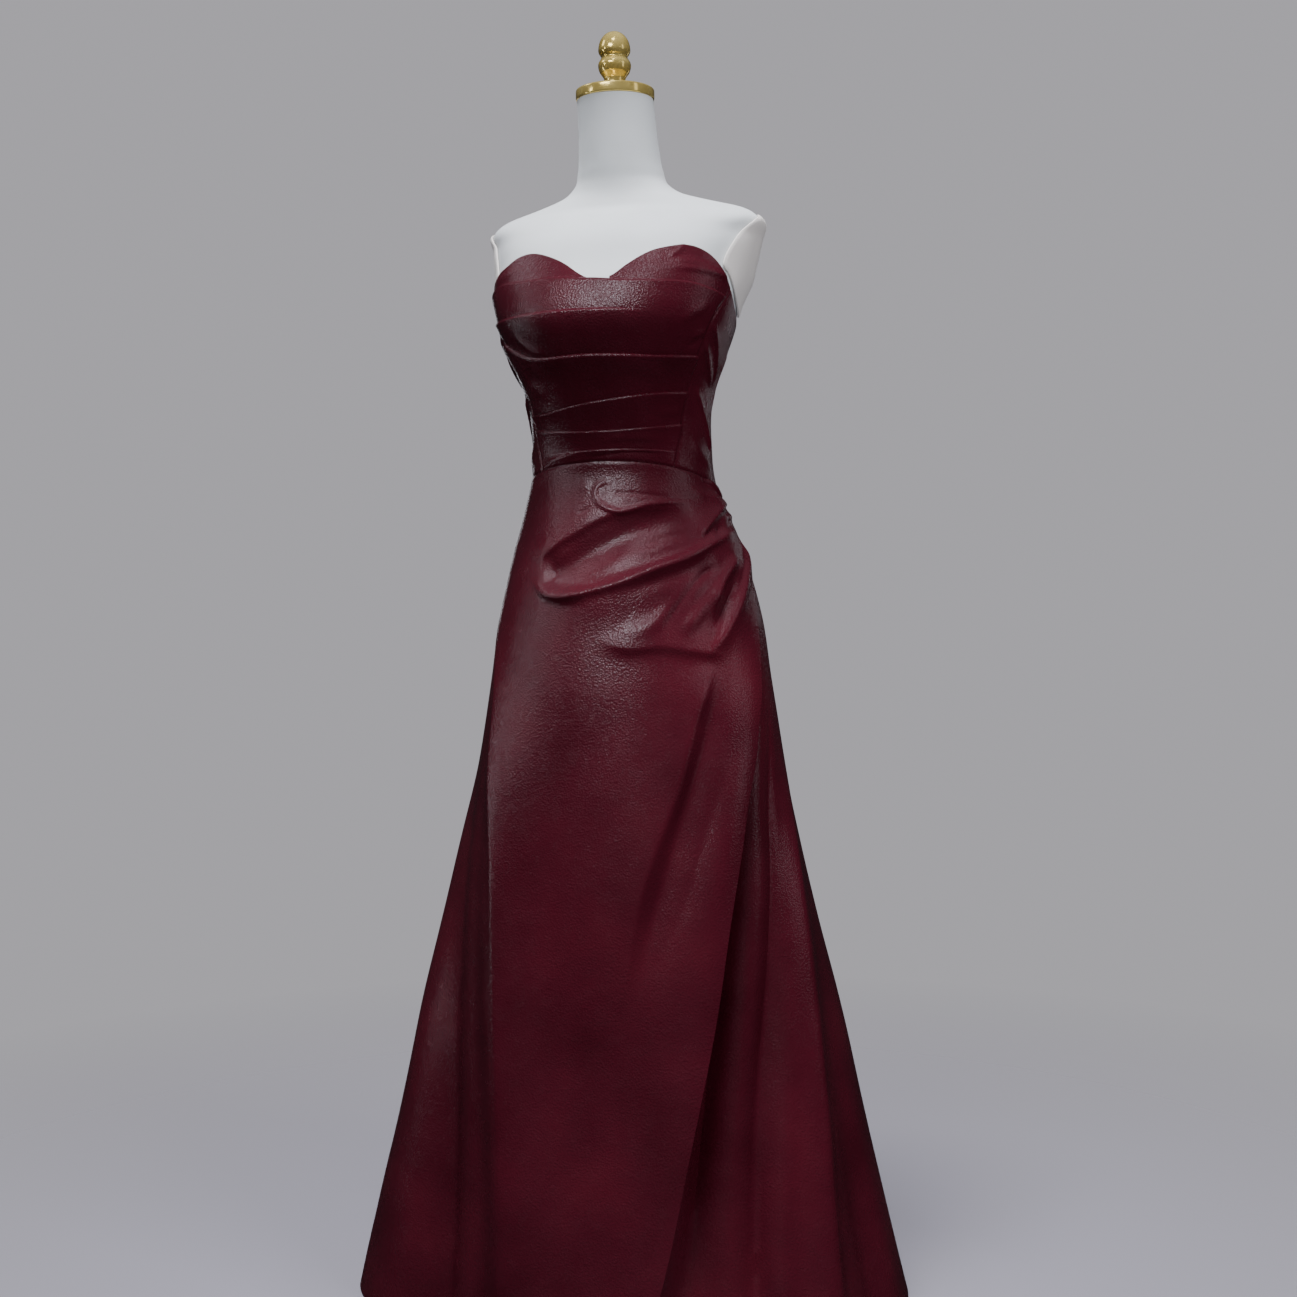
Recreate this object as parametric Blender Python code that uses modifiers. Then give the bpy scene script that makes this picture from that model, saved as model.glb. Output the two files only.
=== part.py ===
# Strapless leather gown on a dress form without limbs.
# Metres, +Z up, origin under the middle of the base plate, front towards -Y.
# Angles run round the body in degrees: 0 is centre front, +90 the wearer's left side (+X).

import math

import bpy
import bmesh
import numpy as np

COLLECTION_NAME = "leather_gown_on_dress_form"

# Driving dimensions
HEM_HEIGHT = 0.0015
CLOTH = 0.0015
SEAM_GAP = 0.0003
WAIST_FLARE = 0.0003
LAP_GAP = 0.0012
FORM_CLEARANCE = 0.0010
TUCK_LAP = 0.004
FORM_BOTTOM = 0.800
NECK_TOP = 1.5427
NECK_TILT = math.radians(1.5)
NECK_TILT_START = 1.455

# Inside of the smooth gown, from hem to cups
SECTION_COLUMNS = ("height", "half_width", "centre", "front", "back", "squareness", "shift")
GOWN_SECTIONS = (
    (0.000, 0.362, 0.000, 0.255, 0.400, 2.00, 0.000),
    (0.060, 0.348, 0.000, 0.247, 0.370, 2.00, 0.000),
    (0.280, 0.297, 0.004, 0.224, 0.306, 2.00, 0.001),
    (0.545, 0.236, 0.010, 0.198, 0.232, 2.00, 0.003),
    (0.710, 0.198, 0.014, 0.176, 0.190, 2.05, 0.006),
    (0.800, 0.182, 0.016, 0.161, 0.168, 2.10, 0.007),
    (0.880, 0.171, 0.018, 0.1435, 0.146, 2.10, 0.007),
    (0.930, 0.159, 0.018, 0.130, 0.133, 2.10, 0.006),
    (0.970, 0.147, 0.017, 0.118, 0.122, 2.10, 0.004),
    (1.000, 0.136, 0.016, 0.109, 0.112, 2.10, 0.002),
    (1.030, 0.126, 0.015, 0.100, 0.101, 2.10, 0.000),
    (1.065, 0.118, 0.014, 0.093, 0.091, 2.10, 0.000),
    (1.100, 0.116, 0.012, 0.094, 0.090, 2.10, 0.000),
    (1.135, 0.116, 0.008, 0.099, 0.094, 2.15, 0.000),
    (1.170, 0.121, 0.002, 0.106, 0.102, 2.20, 0.000),
    (1.210, 0.136, -0.006, 0.115, 0.112, 2.35, 0.001),
    (1.250, 0.150, -0.010, 0.121, 0.116, 2.45, 0.002),
    (1.285, 0.1575, -0.006, 0.117, 0.112, 2.45, 0.002),
    (1.320, 0.1635, 0.002, 0.109, 0.101, 2.40, 0.003),
    (1.360, 0.171, 0.012, 0.097, 0.088, 2.35, 0.004),
    (1.389, 0.176, 0.022, 0.076, 0.072, 2.25, 0.004),
)

# The form where the gown hangs clear of it, and above the cups
FORM_LOW_SECTIONS = (
    (0.800, 0.150, 0.020, 0.105, 0.103, 2.00, 0.0),
    (0.840, 0.157, 0.020, 0.112, 0.112, 2.00, 0.0),
    (0.880, 0.1595, 0.019, 0.113, 0.116, 2.00, 0.0),
    (0.930, 0.150, 0.018, 0.108, 0.110, 2.00, 0.0),
    (0.970, 0.138, 0.016, 0.100, 0.102, 2.00, 0.0),
    (1.000, 0.1275, 0.015, 0.094, 0.095, 2.05, 0.0),
    (1.030, 0.1185, 0.014, 0.089, 0.088, 2.10, 0.0),
    (1.065, 0.1160, 0.014, 0.0905, 0.0885, 2.10, 0.0),
    (1.100, 0.1145, 0.012, 0.0922, 0.0882, 2.10, 0.0),
)
FORM_HIGH_SECTIONS = (
    (1.360, 0.1700, 0.012, 0.0960, 0.0870, 2.35, 0.004),
    (1.389, 0.1750, 0.022, 0.0750, 0.0710, 2.25, 0.004),
    (1.400, 0.1600, 0.026, 0.0640, 0.0630, 2.15, 0.003),
    (1.410, 0.1260, 0.027, 0.0600, 0.0590, 2.05, 0.002),
    (1.422, 0.0860, 0.025, 0.0550, 0.0560, 2.00, 0.001),
    (1.436, 0.0640, 0.022, 0.0520, 0.0530, 2.00, 0.0),
    (1.455, 0.0560, 0.017, 0.0510, 0.0510, 2.00, 0.0),
    (1.480, 0.0525, 0.011, 0.0500, 0.0500, 2.00, 0.0),
    (1.515, 0.0500, 0.003, 0.0485, 0.0485, 2.00, 0.0),
    (NECK_TOP, 0.0490, -0.004, 0.0480, 0.0480, 2.00, 0.0),
)
# The armholes face a little forward: the chest is narrower before them and the back is wider behind them
ARM_LOW = 1.268
ARM_HIGH = 1.404
ARM_FADE = 0.045
CHEST_ANGLE = 66.0
CHEST_HOLLOW = 0.007
BLADE_ANGLE = 106.0
BLADE_RISE = 0.009
ARM_SPREAD = 20.0

# Edges of the pieces, each point an angle and a height; the princess seam a height and an angle
NECKLINE = (
    (-180, 1.232), (-150, 1.233), (-115, 1.240), (-95, 1.258), (-82, 1.283), (-72, 1.302), (-60, 1.314),
    (-46, 1.324), (-36, 1.332), (-27, 1.335), (-18, 1.329), (-9, 1.313), (-4, 1.302), (1, 1.297),
    (6, 1.300), (12, 1.314), (20, 1.327), (29, 1.334), (37, 1.336), (48, 1.330), (60, 1.316), (70, 1.300),
    (82, 1.280), (95, 1.258), (115, 1.240), (150, 1.233), (180, 1.232),
)
WAIST_SEAM = (
    (-180, 1.050), (-120, 1.052), (-90, 1.058), (-54, 1.066), (-30, 1.072), (0, 1.0755),
    (30, 1.072), (50, 1.066), (70, 1.058), (90, 1.050), (120, 1.046), (180, 1.050),
)
TOP_TUCK_EDGE = (
    (-80, 1.285), (-60, 1.298), (-45, 1.301), (-28, 1.299), (-12, 1.300), (0, 1.2955), (8, 1.292),
    (20, 1.290), (44, 1.288), (62, 1.281), (80, 1.273),
)
PRINCESS_SEAM = (
    (1.040, 46), (1.070, 47), (1.100, 52), (1.140, 57), (1.170, 61),
    (1.210, 63), (1.250, 67), (1.285, 76), (1.300, 80),
)
SIDE_BACK_SEAM = 118

# Tucks across the bodice front: heights of each upturned edge from the wearer's right to left, how far it
# stands out, and the angles between which it shows
TUCK_COLUMNS = ("heights", "rise", "from_angle", "to_angle")
TUCK_PLACES = (-60, -35, 0, 35, 60)
TUCKS = (
    ((1.079, 1.085, 1.089, 1.088, 1.085), 0.0030, -22, 52),
    ((1.121, 1.1155, 1.112, 1.1165, 1.122), 0.0032, -70, 90),
    ((1.137, 1.138, 1.148, 1.1565, 1.160), 0.0040, -90, 95),
    ((1.228, 1.2055, 1.203, 1.200, 1.202), 0.0048, -90, 95),
    ((1.254, 1.2555, 1.2565, 1.250, 1.243), 0.0034, -90, 22),
)
TOP_TUCK_RISE = 0.0030
TUCK_FADE_ANGLE = 22
TUCK_ROWS = (0.0, 0.30, 0.62, 0.86, 0.955)
TUCK_LEAN_POWER = 1.5

# The cups meet beside centre front
CUP_INNER_ANGLE = 4.0

# Long folds of the skirt: they start at the hips and fan out towards the hem
FOLD_COLUMNS = ("top_height", "top_angle", "hem_angle", "sweep", "rise", "width_right", "width_left")
FOLD_GROWTH_POWER = 0.8
LONG_FOLDS = (
    (0.92, -62, -12, 1.75, 0.017, 0.022, 0.050),
    (0.86, -80, -32, 1.65, -0.030, 0.065, 0.032),
    (0.92, 97, 28, 2.10, -0.026, 0.026, 0.032),
    (0.80, 98, 39, 1.75, -0.020, 0.032, 0.016),
    (0.80, 104, 56, 1.65, 0.016, 0.028, 0.022),
    (0.76, 107, 76, 1.65, -0.018, 0.040, 0.045),
    (0.90, 138, 136, 1.65, -0.032, 0.050, 0.050),
    (0.92, 165, 162, 1.65, -0.028, 0.042, 0.050),
    (0.95, -167, -163, 1.65, -0.028, 0.050, 0.042),
    (0.90, -140, -135, 1.65, -0.034, 0.050, 0.050),
    (0.82, -98, -88, 1.65, -0.020, 0.045, 0.050),
)

# Overlay of the skirt: its free edge and its seam beside the front ridge
OVERLAY_TOP = 0.900
OVERLAY_EDGE_LINE = (
    (0.000, 13.5), (0.099, 19), (0.257, 27), (0.428, 37.5), (0.531, 44), (0.600, 49.5), (0.671, 56),
    (0.716, 62), (0.752, 65.5), (0.801, 71), (0.850, 76.5), (0.900, 82), (1.000, 94), (1.080, 100),
)
OVERLAY_LAP_ANGLE = 11
OVERLAY_RAMP_ANGLE = 16
OVERLAY_LIFT = CLOTH + LAP_GAP
OVERLAY_EDGE_RISE = 0.012
OVERLAY_EDGE_WIDTH = 0.045
OVERLAY_FREE_RUN = 0.14
OVERLAY_DEEPEST = -0.030
RIDGE_SEAM_TOP_ANGLE = -84
RIDGE_SEAM_TOP = 0.930
RIDGE_SEAM_HEM_ANGLE = -17
RIDGE_SEAM_SWEEP = 1.65

# Folds over the hips: points of each line, as angle and height, from the hip inwards, then the height of the
# ridge, its width on either side, the share of the line that fades at each end, and how round its crest is,
# from 1 for a sharp edge to 2 for a round one
CREASE_COLUMNS = ("line", "rise", "width_above", "width_below", "fade_in", "fade_out", "roundness")
CREASE_RADIUS = 0.150
CREASE_STEPS = 24
HIP_FOLDS = (
    # Hooked fold below the waist
    (((60, 1.023), (26, 1.020), (8, 1.012), (3, 1.017), (-2, 1.031), (-2, 1.042), (2, 1.049), (7, 1.051)),
     0.0016, 0.008, 0.008, 0.40, 0.15, 1.8),
    # Edge that curls down from the upper hip point
    (((96, 1.028), (70, 1.004), (56, 0.985), (49, 0.969)), 0.0046, 0.012, 0.008, 0.12, 0.25, 1.6),
    # Brink of the swag, its hollow, the roll below it, the pleat that ends it and the hollow under the pleat
    (((60, 1.019), (34, 1.017), (8, 1.010), (0, 1.003), (-6, 0.995), (-12, 0.986), (-19, 0.977), (-25, 0.967),
      (-30, 0.957), (-33, 0.943)), 0.0036, 0.034, 0.010, 0.40, 0.12, 1.8),
    (((56, 1.000), (34, 0.996), (20, 0.987), (6, 0.972), (-5, 0.956), (-16, 0.941), (-27, 0.931)),
     -0.0095, 0.020, 0.014, 0.35, 0.12, 2.0),
    (((58, 0.984), (36, 0.975), (20, 0.963), (6, 0.945), (-5, 0.930), (-14, 0.921)),
     0.0050, 0.012, 0.020, 0.30, 0.40, 2.0),
    (((103, 0.993), (70, 0.980), (56, 0.969), (40, 0.953), (24, 0.939), (8, 0.922), (-4, 0.912), (-10, 0.908),
      (-16, 0.906), (-23, 0.909), (-30, 0.919), (-34, 0.932)), 0.0060, 0.009, 0.008, 0.20, 0.10, 1.7),
    (((60, 0.958), (44, 0.942), (24, 0.924), (6, 0.905)), -0.0050, 0.008, 0.016, 0.30, 0.35, 2.0),
    # Pouch below it, its low edge, one fan fold, the deep crease beside the last pleat and that pleat
    (((58, 0.824), (49, 0.835), (38, 0.840), (25, 0.846), (13, 0.843), (5, 0.850), (1, 0.862)),
     0.0046, 0.026, 0.010, 0.25, 0.25, 1.8),
    (((70, 0.950), (56, 0.925), (42, 0.890), (30, 0.865)), 0.0040, 0.014, 0.014, 0.25, 0.35, 2.0),
    (((92, 0.966), (85, 0.954), (78, 0.938), (68, 0.916), (62, 0.898), (56, 0.880), (48, 0.862)),
     -0.0080, 0.009, 0.008, 0.15, 0.35, 2.0),
    (((98, 0.988), (90, 0.952), (79, 0.930), (69, 0.903), (60, 0.877), (54, 0.857), (49, 0.842), (44, 0.828)),
     0.0066, 0.008, 0.013, 0.15, 0.20, 1.8),
    # Soft fold that runs on from it down the front, and a shorter one beside it
    (((52, 0.834), (43, 0.788), (32, 0.673), (19, 0.545), (12, 0.429), (8, 0.340)),
     0.0060, 0.030, 0.013, 0.20, 0.40, 1.8),
    (((62, 0.760), (46, 0.629), (27, 0.462), (18, 0.360)), 0.0046, 0.018, 0.020, 0.35, 0.40, 2.0),
)

# Rows and columns of points in each piece
OVERLAY_COLUMNS = 29
UNDER_GORE_COLUMNS = 15
SIDE_GORE_COLUMNS = 14
BACK_GORE_COLUMNS = 9
FRONT_COLUMNS = 21
CUP_COLUMNS = 15
CUP_ROWS = 5
SIDE_COLUMNS = 7
SIDE_ROWS = 21
BACK_COLUMNS = 9
BACK_ROWS = 10
CURVE_STEPS = 16
SETTLING_PASSES = 4
NORMAL_STEP = 0.8
FIRST_GUESS_ANGLE = 90.0
FIRST_GUESS_HEIGHT = 1.150
SKIRT_ROWS_LOW = 10
SKIRT_ROWS_HIP = 14
SKIRT_ROW_BREAK = 0.800

# Dress form
TORSO_COLUMNS = 36
TORSO_ROW_PITCH = 0.025
TORSO_FOOT_ROUNDING = 0.004
TORSO_FOOT_SCALE = 0.965
# Cover of an armhole: its middle and its outline, each point an angle and a height
PLATE_CENTRE = (89, 1.330)
PLATE_EDGE = (
    (89, 1.390), (79, 1.378), (72, 1.356), (67, 1.332), (67, 1.316), (75, 1.3045), (85, 1.283), (95, 1.2665),
    (103, 1.262), (110, 1.274), (114, 1.304), (111, 1.342), (101, 1.376),
)
PLATE_THICKNESS = 0.004
PLATE_GAP = 0.0013
PLATE_RINGS = 5
PLATE_SIDES = 24
CAP_RADIUS = 0.0505
CAP_THICKNESS = 0.013
CAP_ROUNDING = 0.003
CAP_CORNER = 0.001
POLE_RADIUS = 0.014
COLLAR_RADIUS = 0.034
COLLAR_HEIGHT = 0.028
COLLAR_RIM = 0.008
BASE_RADIUS = 0.160
BASE_THICKNESS = 0.010
BASE_BEVEL = 0.004
HUB_RADIUS = 0.030
HUB_HEIGHT = 0.030
HUB_RIM = 0.006
HUB_WALL = 0.006
HUB_BEVEL = 0.003
ROUND_SIDES = 24
MERGE_DISTANCE = 0.00001
CONTACT_GAP = 0.0003
# Finial's outline, each point a radius and a height, from the top down
FINIAL_PROFILE = (
    (0.0, 0.0740), (0.0070, 0.0728), (0.0130, 0.0690), (0.0176, 0.0630), (0.0200, 0.0560),
    (0.0206, 0.0490), (0.0190, 0.0450), (0.0168, 0.0415), (0.0182, 0.0380), (0.0206, 0.0340),
    (0.0210, 0.0290), (0.0192, 0.0225), (0.0160, 0.0180), (0.0138, 0.0140), (0.0135, 0.0080),
    (0.0165, 0.0040), (0.0175, 0.0000), (0.0, 0.0),
)

# Colours and finish
SHARP_ANGLE = math.radians(50.0)
LEATHER_COLOUR = (0.060, 0.008, 0.014, 1.0)
FORM_COLOUR = (0.78, 0.79, 0.78, 1.0)
GOLD_COLOUR = (0.80, 0.56, 0.24, 1.0)
STEEL_COLOUR = (0.55, 0.55, 0.57, 1.0)
LEATHER_ROUGHNESS = 0.35
FORM_ROUGHNESS = 0.85
GOLD_ROUGHNESS = 0.15
STEEL_ROUGHNESS = 0.35


# Tables

def smooth_curve(knots):
    """Dense points of a smooth curve through (position, value) knots, for np.interp."""
    places = np.array([knot[0] for knot in knots], float)
    values = np.array([knot[1] for knot in knots], float)
    slopes = np.gradient(values, places)
    dense_places = []
    dense_values = []
    for left in range(len(places) - 1):
        span = places[left + 1] - places[left]
        part = np.linspace(0.0, 1.0, CURVE_STEPS + 1)[:-1]
        from_value = (2 * part**3 - 3 * part**2 + 1) * values[left]
        to_value = (3 * part**2 - 2 * part**3) * values[left + 1]
        from_slope = (part**3 - 2 * part**2 + part) * slopes[left] * span
        to_slope = (part**3 - part**2) * slopes[left + 1] * span
        dense_places.extend(places[left] + part * span)
        dense_values.extend(from_value + to_value + from_slope + to_slope)
    dense_places.append(places[-1])
    dense_values.append(values[-1])
    return np.array(dense_places), np.array(dense_values)


def section_curves(sections):
    """One smooth curve of height for each column of a table of sections."""
    curves = {}
    for index, name in enumerate(SECTION_COLUMNS[1:], start=1):
        curves[name] = smooth_curve([(row[0], row[index]) for row in sections])
    return curves


def fitted_sections():
    """The form's sections: its own low and high ones, and the gown's between, a clearance inside."""
    fitted = []
    for height, half_width, centre, front, back, squareness, shift in GOWN_SECTIONS:
        if FORM_LOW_SECTIONS[-1][0] < height < FORM_HIGH_SECTIONS[0][0]:
            fitted.append((height, half_width - FORM_CLEARANCE, centre, front - FORM_CLEARANCE,
                           back - FORM_CLEARANCE, squareness, shift))
    return FORM_LOW_SECTIONS + tuple(fitted) + FORM_HIGH_SECTIONS


GOWN_CURVES = section_curves(GOWN_SECTIONS)
FORM_CURVES = section_curves(fitted_sections())
NECKLINE_CURVE = smooth_curve(NECKLINE)
WAIST_CURVE = smooth_curve(WAIST_SEAM)
TOP_TUCK_CURVE = smooth_curve(TOP_TUCK_EDGE)
PRINCESS_CURVE = smooth_curve(PRINCESS_SEAM)
OVERLAY_EDGE_CURVE = smooth_curve(OVERLAY_EDGE_LINE)


def neckline(angle):
    return np.interp(angle, *NECKLINE_CURVE)


def waist_seam(angle):
    return np.interp(angle, *WAIST_CURVE)


def top_tuck_edge(angle):
    return np.interp(angle, *TOP_TUCK_CURVE)


def princess_seam(height):
    return np.interp(height, *PRINCESS_CURVE)


def smooth_step(value):
    part = np.clip(value, 0.0, 1.0)
    return part * part * (3.0 - 2.0 * part)


def spread(first, last, count):
    return np.linspace(first, last, count)


# Surfaces

def section_point(curves, angle, height):
    """Point of a section at an angle, a rounded rectangle with unlike front and back depths."""
    half_width = np.interp(height, *curves["half_width"])
    centre = np.interp(height, *curves["centre"])
    front = np.interp(height, *curves["front"])
    back = np.interp(height, *curves["back"])
    power = 2.0 / np.interp(height, *curves["squareness"])
    turn = np.radians(angle)
    across = np.sin(turn)
    along = np.cos(turn)
    depth = np.where(along > 0.0, front, back)
    x = np.interp(height, *curves["shift"]) + half_width * np.sign(across) * np.abs(across) ** power
    y = centre - depth * np.sign(along) * np.abs(along) ** power
    return np.stack([x, y, height + 0.0 * x], axis=-1)


def outward(curves, angle, height):
    """Level unit vector that points out of a section."""
    after = section_point(curves, angle + NORMAL_STEP, height)
    run = after - section_point(curves, angle - NORMAL_STEP, height)
    normal = np.stack([run[..., 1], -run[..., 0], 0.0 * run[..., 0]], axis=-1)
    return normal / np.linalg.norm(normal, axis=-1, keepdims=True)


def arc_per_degree(height):
    """Length of a degree round the gown, in metres."""
    half_width = np.interp(height, *GOWN_CURVES["half_width"])
    front = np.interp(height, *GOWN_CURVES["front"])
    return math.radians(1.0) * 0.5 * (half_width + front)


def swept_angle(height, top_height, top_angle, hem_angle, sweep):
    """Angle of a line that leaves the hip at one angle and meets the hem at another."""
    part = np.clip(height / top_height, 0.0, 1.0)
    return hem_angle + (top_angle - hem_angle) * part ** sweep


def overlay_edge(height):
    return np.interp(height, *OVERLAY_EDGE_CURVE)


def ridge_seam(height):
    return swept_angle(height, RIDGE_SEAM_TOP, RIDGE_SEAM_TOP_ANGLE, RIDGE_SEAM_HEM_ANGLE, RIDGE_SEAM_SWEEP)


def one_sided_bump(distance, width_low, width_high):
    """A rounded ridge whose two sides have their own widths."""
    width = np.where(distance < 0.0, width_low, width_high)
    return np.exp(-((distance / width) ** 2))


def angle_between(angle, other):
    """Difference of two angles, between -180 and 180 degrees."""
    return (angle - other + 180.0) % 360.0 - 180.0


def long_fold_rise(angle, height):
    total = np.zeros(np.broadcast(angle, height).shape)
    for row in LONG_FOLDS:
        fold = dict(zip(FOLD_COLUMNS, row))
        line = swept_angle(height, fold["top_height"], fold["top_angle"], fold["hem_angle"], fold["sweep"])
        distance = angle_between(angle, line) * arc_per_degree(height)
        growth = smooth_step(1.0 - height / fold["top_height"]) ** FOLD_GROWTH_POWER
        shape = one_sided_bump(distance, fold["width_right"], fold["width_left"])
        total = total + fold["rise"] * growth * shape
    return total


def crease_curve(knots):
    """Points of a smooth curve through a fold's knots in the unrolled cloth, across and up."""
    knots = np.array(knots, float)
    across = CREASE_RADIUS * np.radians(knots[:, 0])
    run = np.hypot(np.diff(across), np.diff(knots[:, 1]))
    along = np.concatenate([[0.0], np.cumsum(run)])
    place = spread(0.0, along[-1], CREASE_STEPS + 1)
    curves = [smooth_curve(list(zip(along, values))) for values in (across, knots[:, 1])]
    return np.stack([np.interp(place, *curve) for curve in curves], axis=-1)


def crease_rise(angle, height, folds):
    """Height of the folds of a table above the smooth cloth."""
    across = CREASE_RADIUS * np.radians(angle) + 0.0 * height
    up = height + 0.0 * across
    total = np.zeros(across.shape)
    for row in folds:
        fold = dict(zip(CREASE_COLUMNS, row))
        points = crease_curve(fold["line"])
        nearest = np.full(across.shape, np.inf)
        place = np.zeros(across.shape)
        side = np.zeros(across.shape)
        for index in range(CREASE_STEPS):
            (ax, ay), (bx, by) = points[index], points[index + 1]
            length = (bx - ax) ** 2 + (by - ay) ** 2
            part = np.clip(((across - ax) * (bx - ax) + (up - ay) * (by - ay)) / length, 0.0, 1.0)
            off_across = across - ax - part * (bx - ax)
            off_up = up - ay - part * (by - ay)
            distance = np.hypot(off_across, off_up)
            nearer = distance < nearest
            nearest = np.where(nearer, distance, nearest)
            place = np.where(nearer, (index + part) / CREASE_STEPS, place)
            turned = (bx - ax) * off_up - (by - ay) * off_across
            side = np.where(nearer, np.sign(turned), side)
        width = np.where(side > 0.0, fold["width_below"], fold["width_above"])
        taper = smooth_step(place / fold["fade_in"]) * smooth_step((1.0 - place) / fold["fade_out"])
        total = total + fold["rise"] * taper * np.exp(-((nearest / width) ** fold["roundness"]))
    return total


def gown_point(angle, height, rise):
    """Point of the gown's inside, moved out by its folds."""
    base = section_point(GOWN_CURVES, angle, height)
    return base + outward(GOWN_CURVES, angle, height) * np.asarray(rise)[..., None]


def overlay_rise(angle, height):
    """Folds of the overlay: it lifts off the gore that it laps and stands up along its free edge."""
    from_edge = angle - overlay_edge(height)
    lapped = smooth_step(1.0 + (from_edge + OVERLAY_LAP_ANGLE) / OVERLAY_RAMP_ANGLE)
    free = smooth_step((OVERLAY_TOP - height) / OVERLAY_FREE_RUN)
    distance = from_edge * arc_per_degree(height)
    stand = OVERLAY_EDGE_RISE * free * np.exp(-((distance / OVERLAY_EDGE_WIDTH) ** 2))
    deepest = OVERLAY_DEEPEST * (1.0 - lapped)
    shared = np.maximum(long_fold_rise(angle, height), deepest)
    drape = crease_rise(angle, height, HIP_FOLDS)
    drape = drape * (1.0 - lapped) + np.maximum(drape, 0.0) * lapped
    return shared + OVERLAY_LIFT * lapped + stand + drape


def form_point(angle, height):
    """Point of the form, with its armholes turned a little forward."""
    base = section_point(FORM_CURVES, angle, height)
    level = smooth_step((height - ARM_LOW) / ARM_FADE) * smooth_step((ARM_HIGH - height) / ARM_FADE)
    around = np.abs(angle_between(angle, 0.0))
    chest = one_sided_bump(around - CHEST_ANGLE, ARM_SPREAD, ARM_SPREAD)
    blade = one_sided_bump(around - BLADE_ANGLE, ARM_SPREAD, ARM_SPREAD)
    rise = level * (BLADE_RISE * blade - CHEST_HOLLOW * chest)
    return base + outward(FORM_CURVES, angle, height) * rise[..., None]


# Meshes

def make_collection(name):
    collection = bpy.data.collections.new(name)
    bpy.context.scene.collection.children.link(collection)
    return collection


def make_material(name, colour, roughness, metallic=0.0):
    material = bpy.data.materials.new(name)
    material.use_nodes = True
    shader = material.node_tree.nodes["Principled BSDF"]
    shader.inputs["Base Color"].default_value = colour
    shader.inputs["Roughness"].default_value = roughness
    shader.inputs["Metallic"].default_value = metallic
    return material


def add_object(name, mesh, material, collection, smooth=True):
    mesh.materials.append(material)
    if smooth:
        mesh.shade_smooth()
        mesh.set_sharp_from_angle(angle=SHARP_ANGLE)
    thing = bpy.data.objects.new(name, mesh)
    collection.objects.link(thing)
    return thing


def grid_mesh(name, points):
    """Open surface through a grid of points, rows by columns; its faces point out of the body."""
    rows, columns = points.shape[:2]
    shape = bmesh.new()
    corners = [[shape.verts.new(points[row, column]) for column in range(columns)] for row in range(rows)]
    for row in range(rows - 1):
        for column in range(columns - 1):
            shape.faces.new((corners[row][column], corners[row][column + 1],
                             corners[row + 1][column + 1], corners[row + 1][column]))
    mesh = bpy.data.meshes.new(name)
    shape.to_mesh(mesh)
    shape.free()
    return mesh


def add_wall(name, points, material, collection):
    """A sewn piece: an open surface with its thickness on the outside."""
    wall = add_object(name, grid_mesh(name, points), material, collection)
    solidify = wall.modifiers.new("thickness", "SOLIDIFY")
    solidify.thickness = CLOTH
    solidify.offset = 1.0
    solidify.use_even_offset = False
    solidify.use_quality_normals = True
    return wall


def add_loft(name, rings, material, collection):
    """Closed solid through rings of equal count, low to high."""
    count = len(rings[0])
    shape = bmesh.new()
    levels = [[shape.verts.new(point) for point in ring] for ring in rings]
    for low, high in zip(levels, levels[1:]):
        for side in range(count):
            after = (side + 1) % count
            shape.faces.new((low[side], low[after], high[after], high[side]))
    shape.faces.new(list(reversed(levels[0])))
    shape.faces.new(levels[-1])
    mesh = bpy.data.meshes.new(name)
    shape.to_mesh(mesh)
    shape.free()
    return add_object(name, mesh, material, collection)


def add_turned(name, profile, material, collection, place=(0.0, 0.0, 0.0), tilt=0.0):
    """Solid of revolution about its own Z, from (radius, height) points that run top to bottom."""
    shape = bmesh.new()
    corners = [shape.verts.new((radius, 0.0, height)) for radius, height in profile]
    for upper, lower in zip(corners, corners[1:]):
        shape.edges.new((upper, lower))
    mesh = bpy.data.meshes.new(name)
    shape.to_mesh(mesh)
    shape.free()
    turned = add_object(name, mesh, material, collection, smooth=False)
    screw = turned.modifiers.new("turn", "SCREW")
    screw.steps = ROUND_SIDES
    screw.render_steps = ROUND_SIDES
    screw.use_merge_vertices = True
    screw.merge_threshold = MERGE_DISTANCE
    screw.use_smooth_shade = True
    turned.location = place
    turned.rotation_euler = (tilt, 0.0, 0.0)
    return turned


# Gown

def skirt_levels():
    """Fractions of the skirt's height for its rows of points, closer together over the hips."""
    low = spread(0.0, SKIRT_ROW_BREAK, SKIRT_ROWS_LOW)[:-1]
    high = spread(SKIRT_ROW_BREAK, 1.0, SKIRT_ROWS_HIP + 1)
    return np.concatenate([low, high])


def seam_angle(height):
    """Half of the seam gap, as an angle."""
    return 0.5 * SEAM_GAP / arc_per_degree(height)


def skirt_grid(left_edge, right_edge, columns, rise):
    """Points of a skirt piece between two edges, from hem to waist seam."""
    levels = skirt_levels()[:, None]
    nominal = HEM_HEIGHT + levels * (waist_seam(0.0) - HEM_HEIGHT)
    inset = seam_angle(nominal)
    across = spread(0.0, 1.0, columns)[None, :]
    start = left_edge(nominal) + inset
    finish = right_edge(nominal) - inset
    angle = start + (finish - start) * across
    top = waist_seam((angle + 180.0) % 360.0 - 180.0) - 0.5 * (SEAM_GAP + WAIST_FLARE)
    height = HEM_HEIGHT + levels * (top - HEM_HEIGHT)
    return gown_point(angle, height, rise(angle, height))


def constant(angle):
    return lambda height: angle + 0.0 * height


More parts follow.
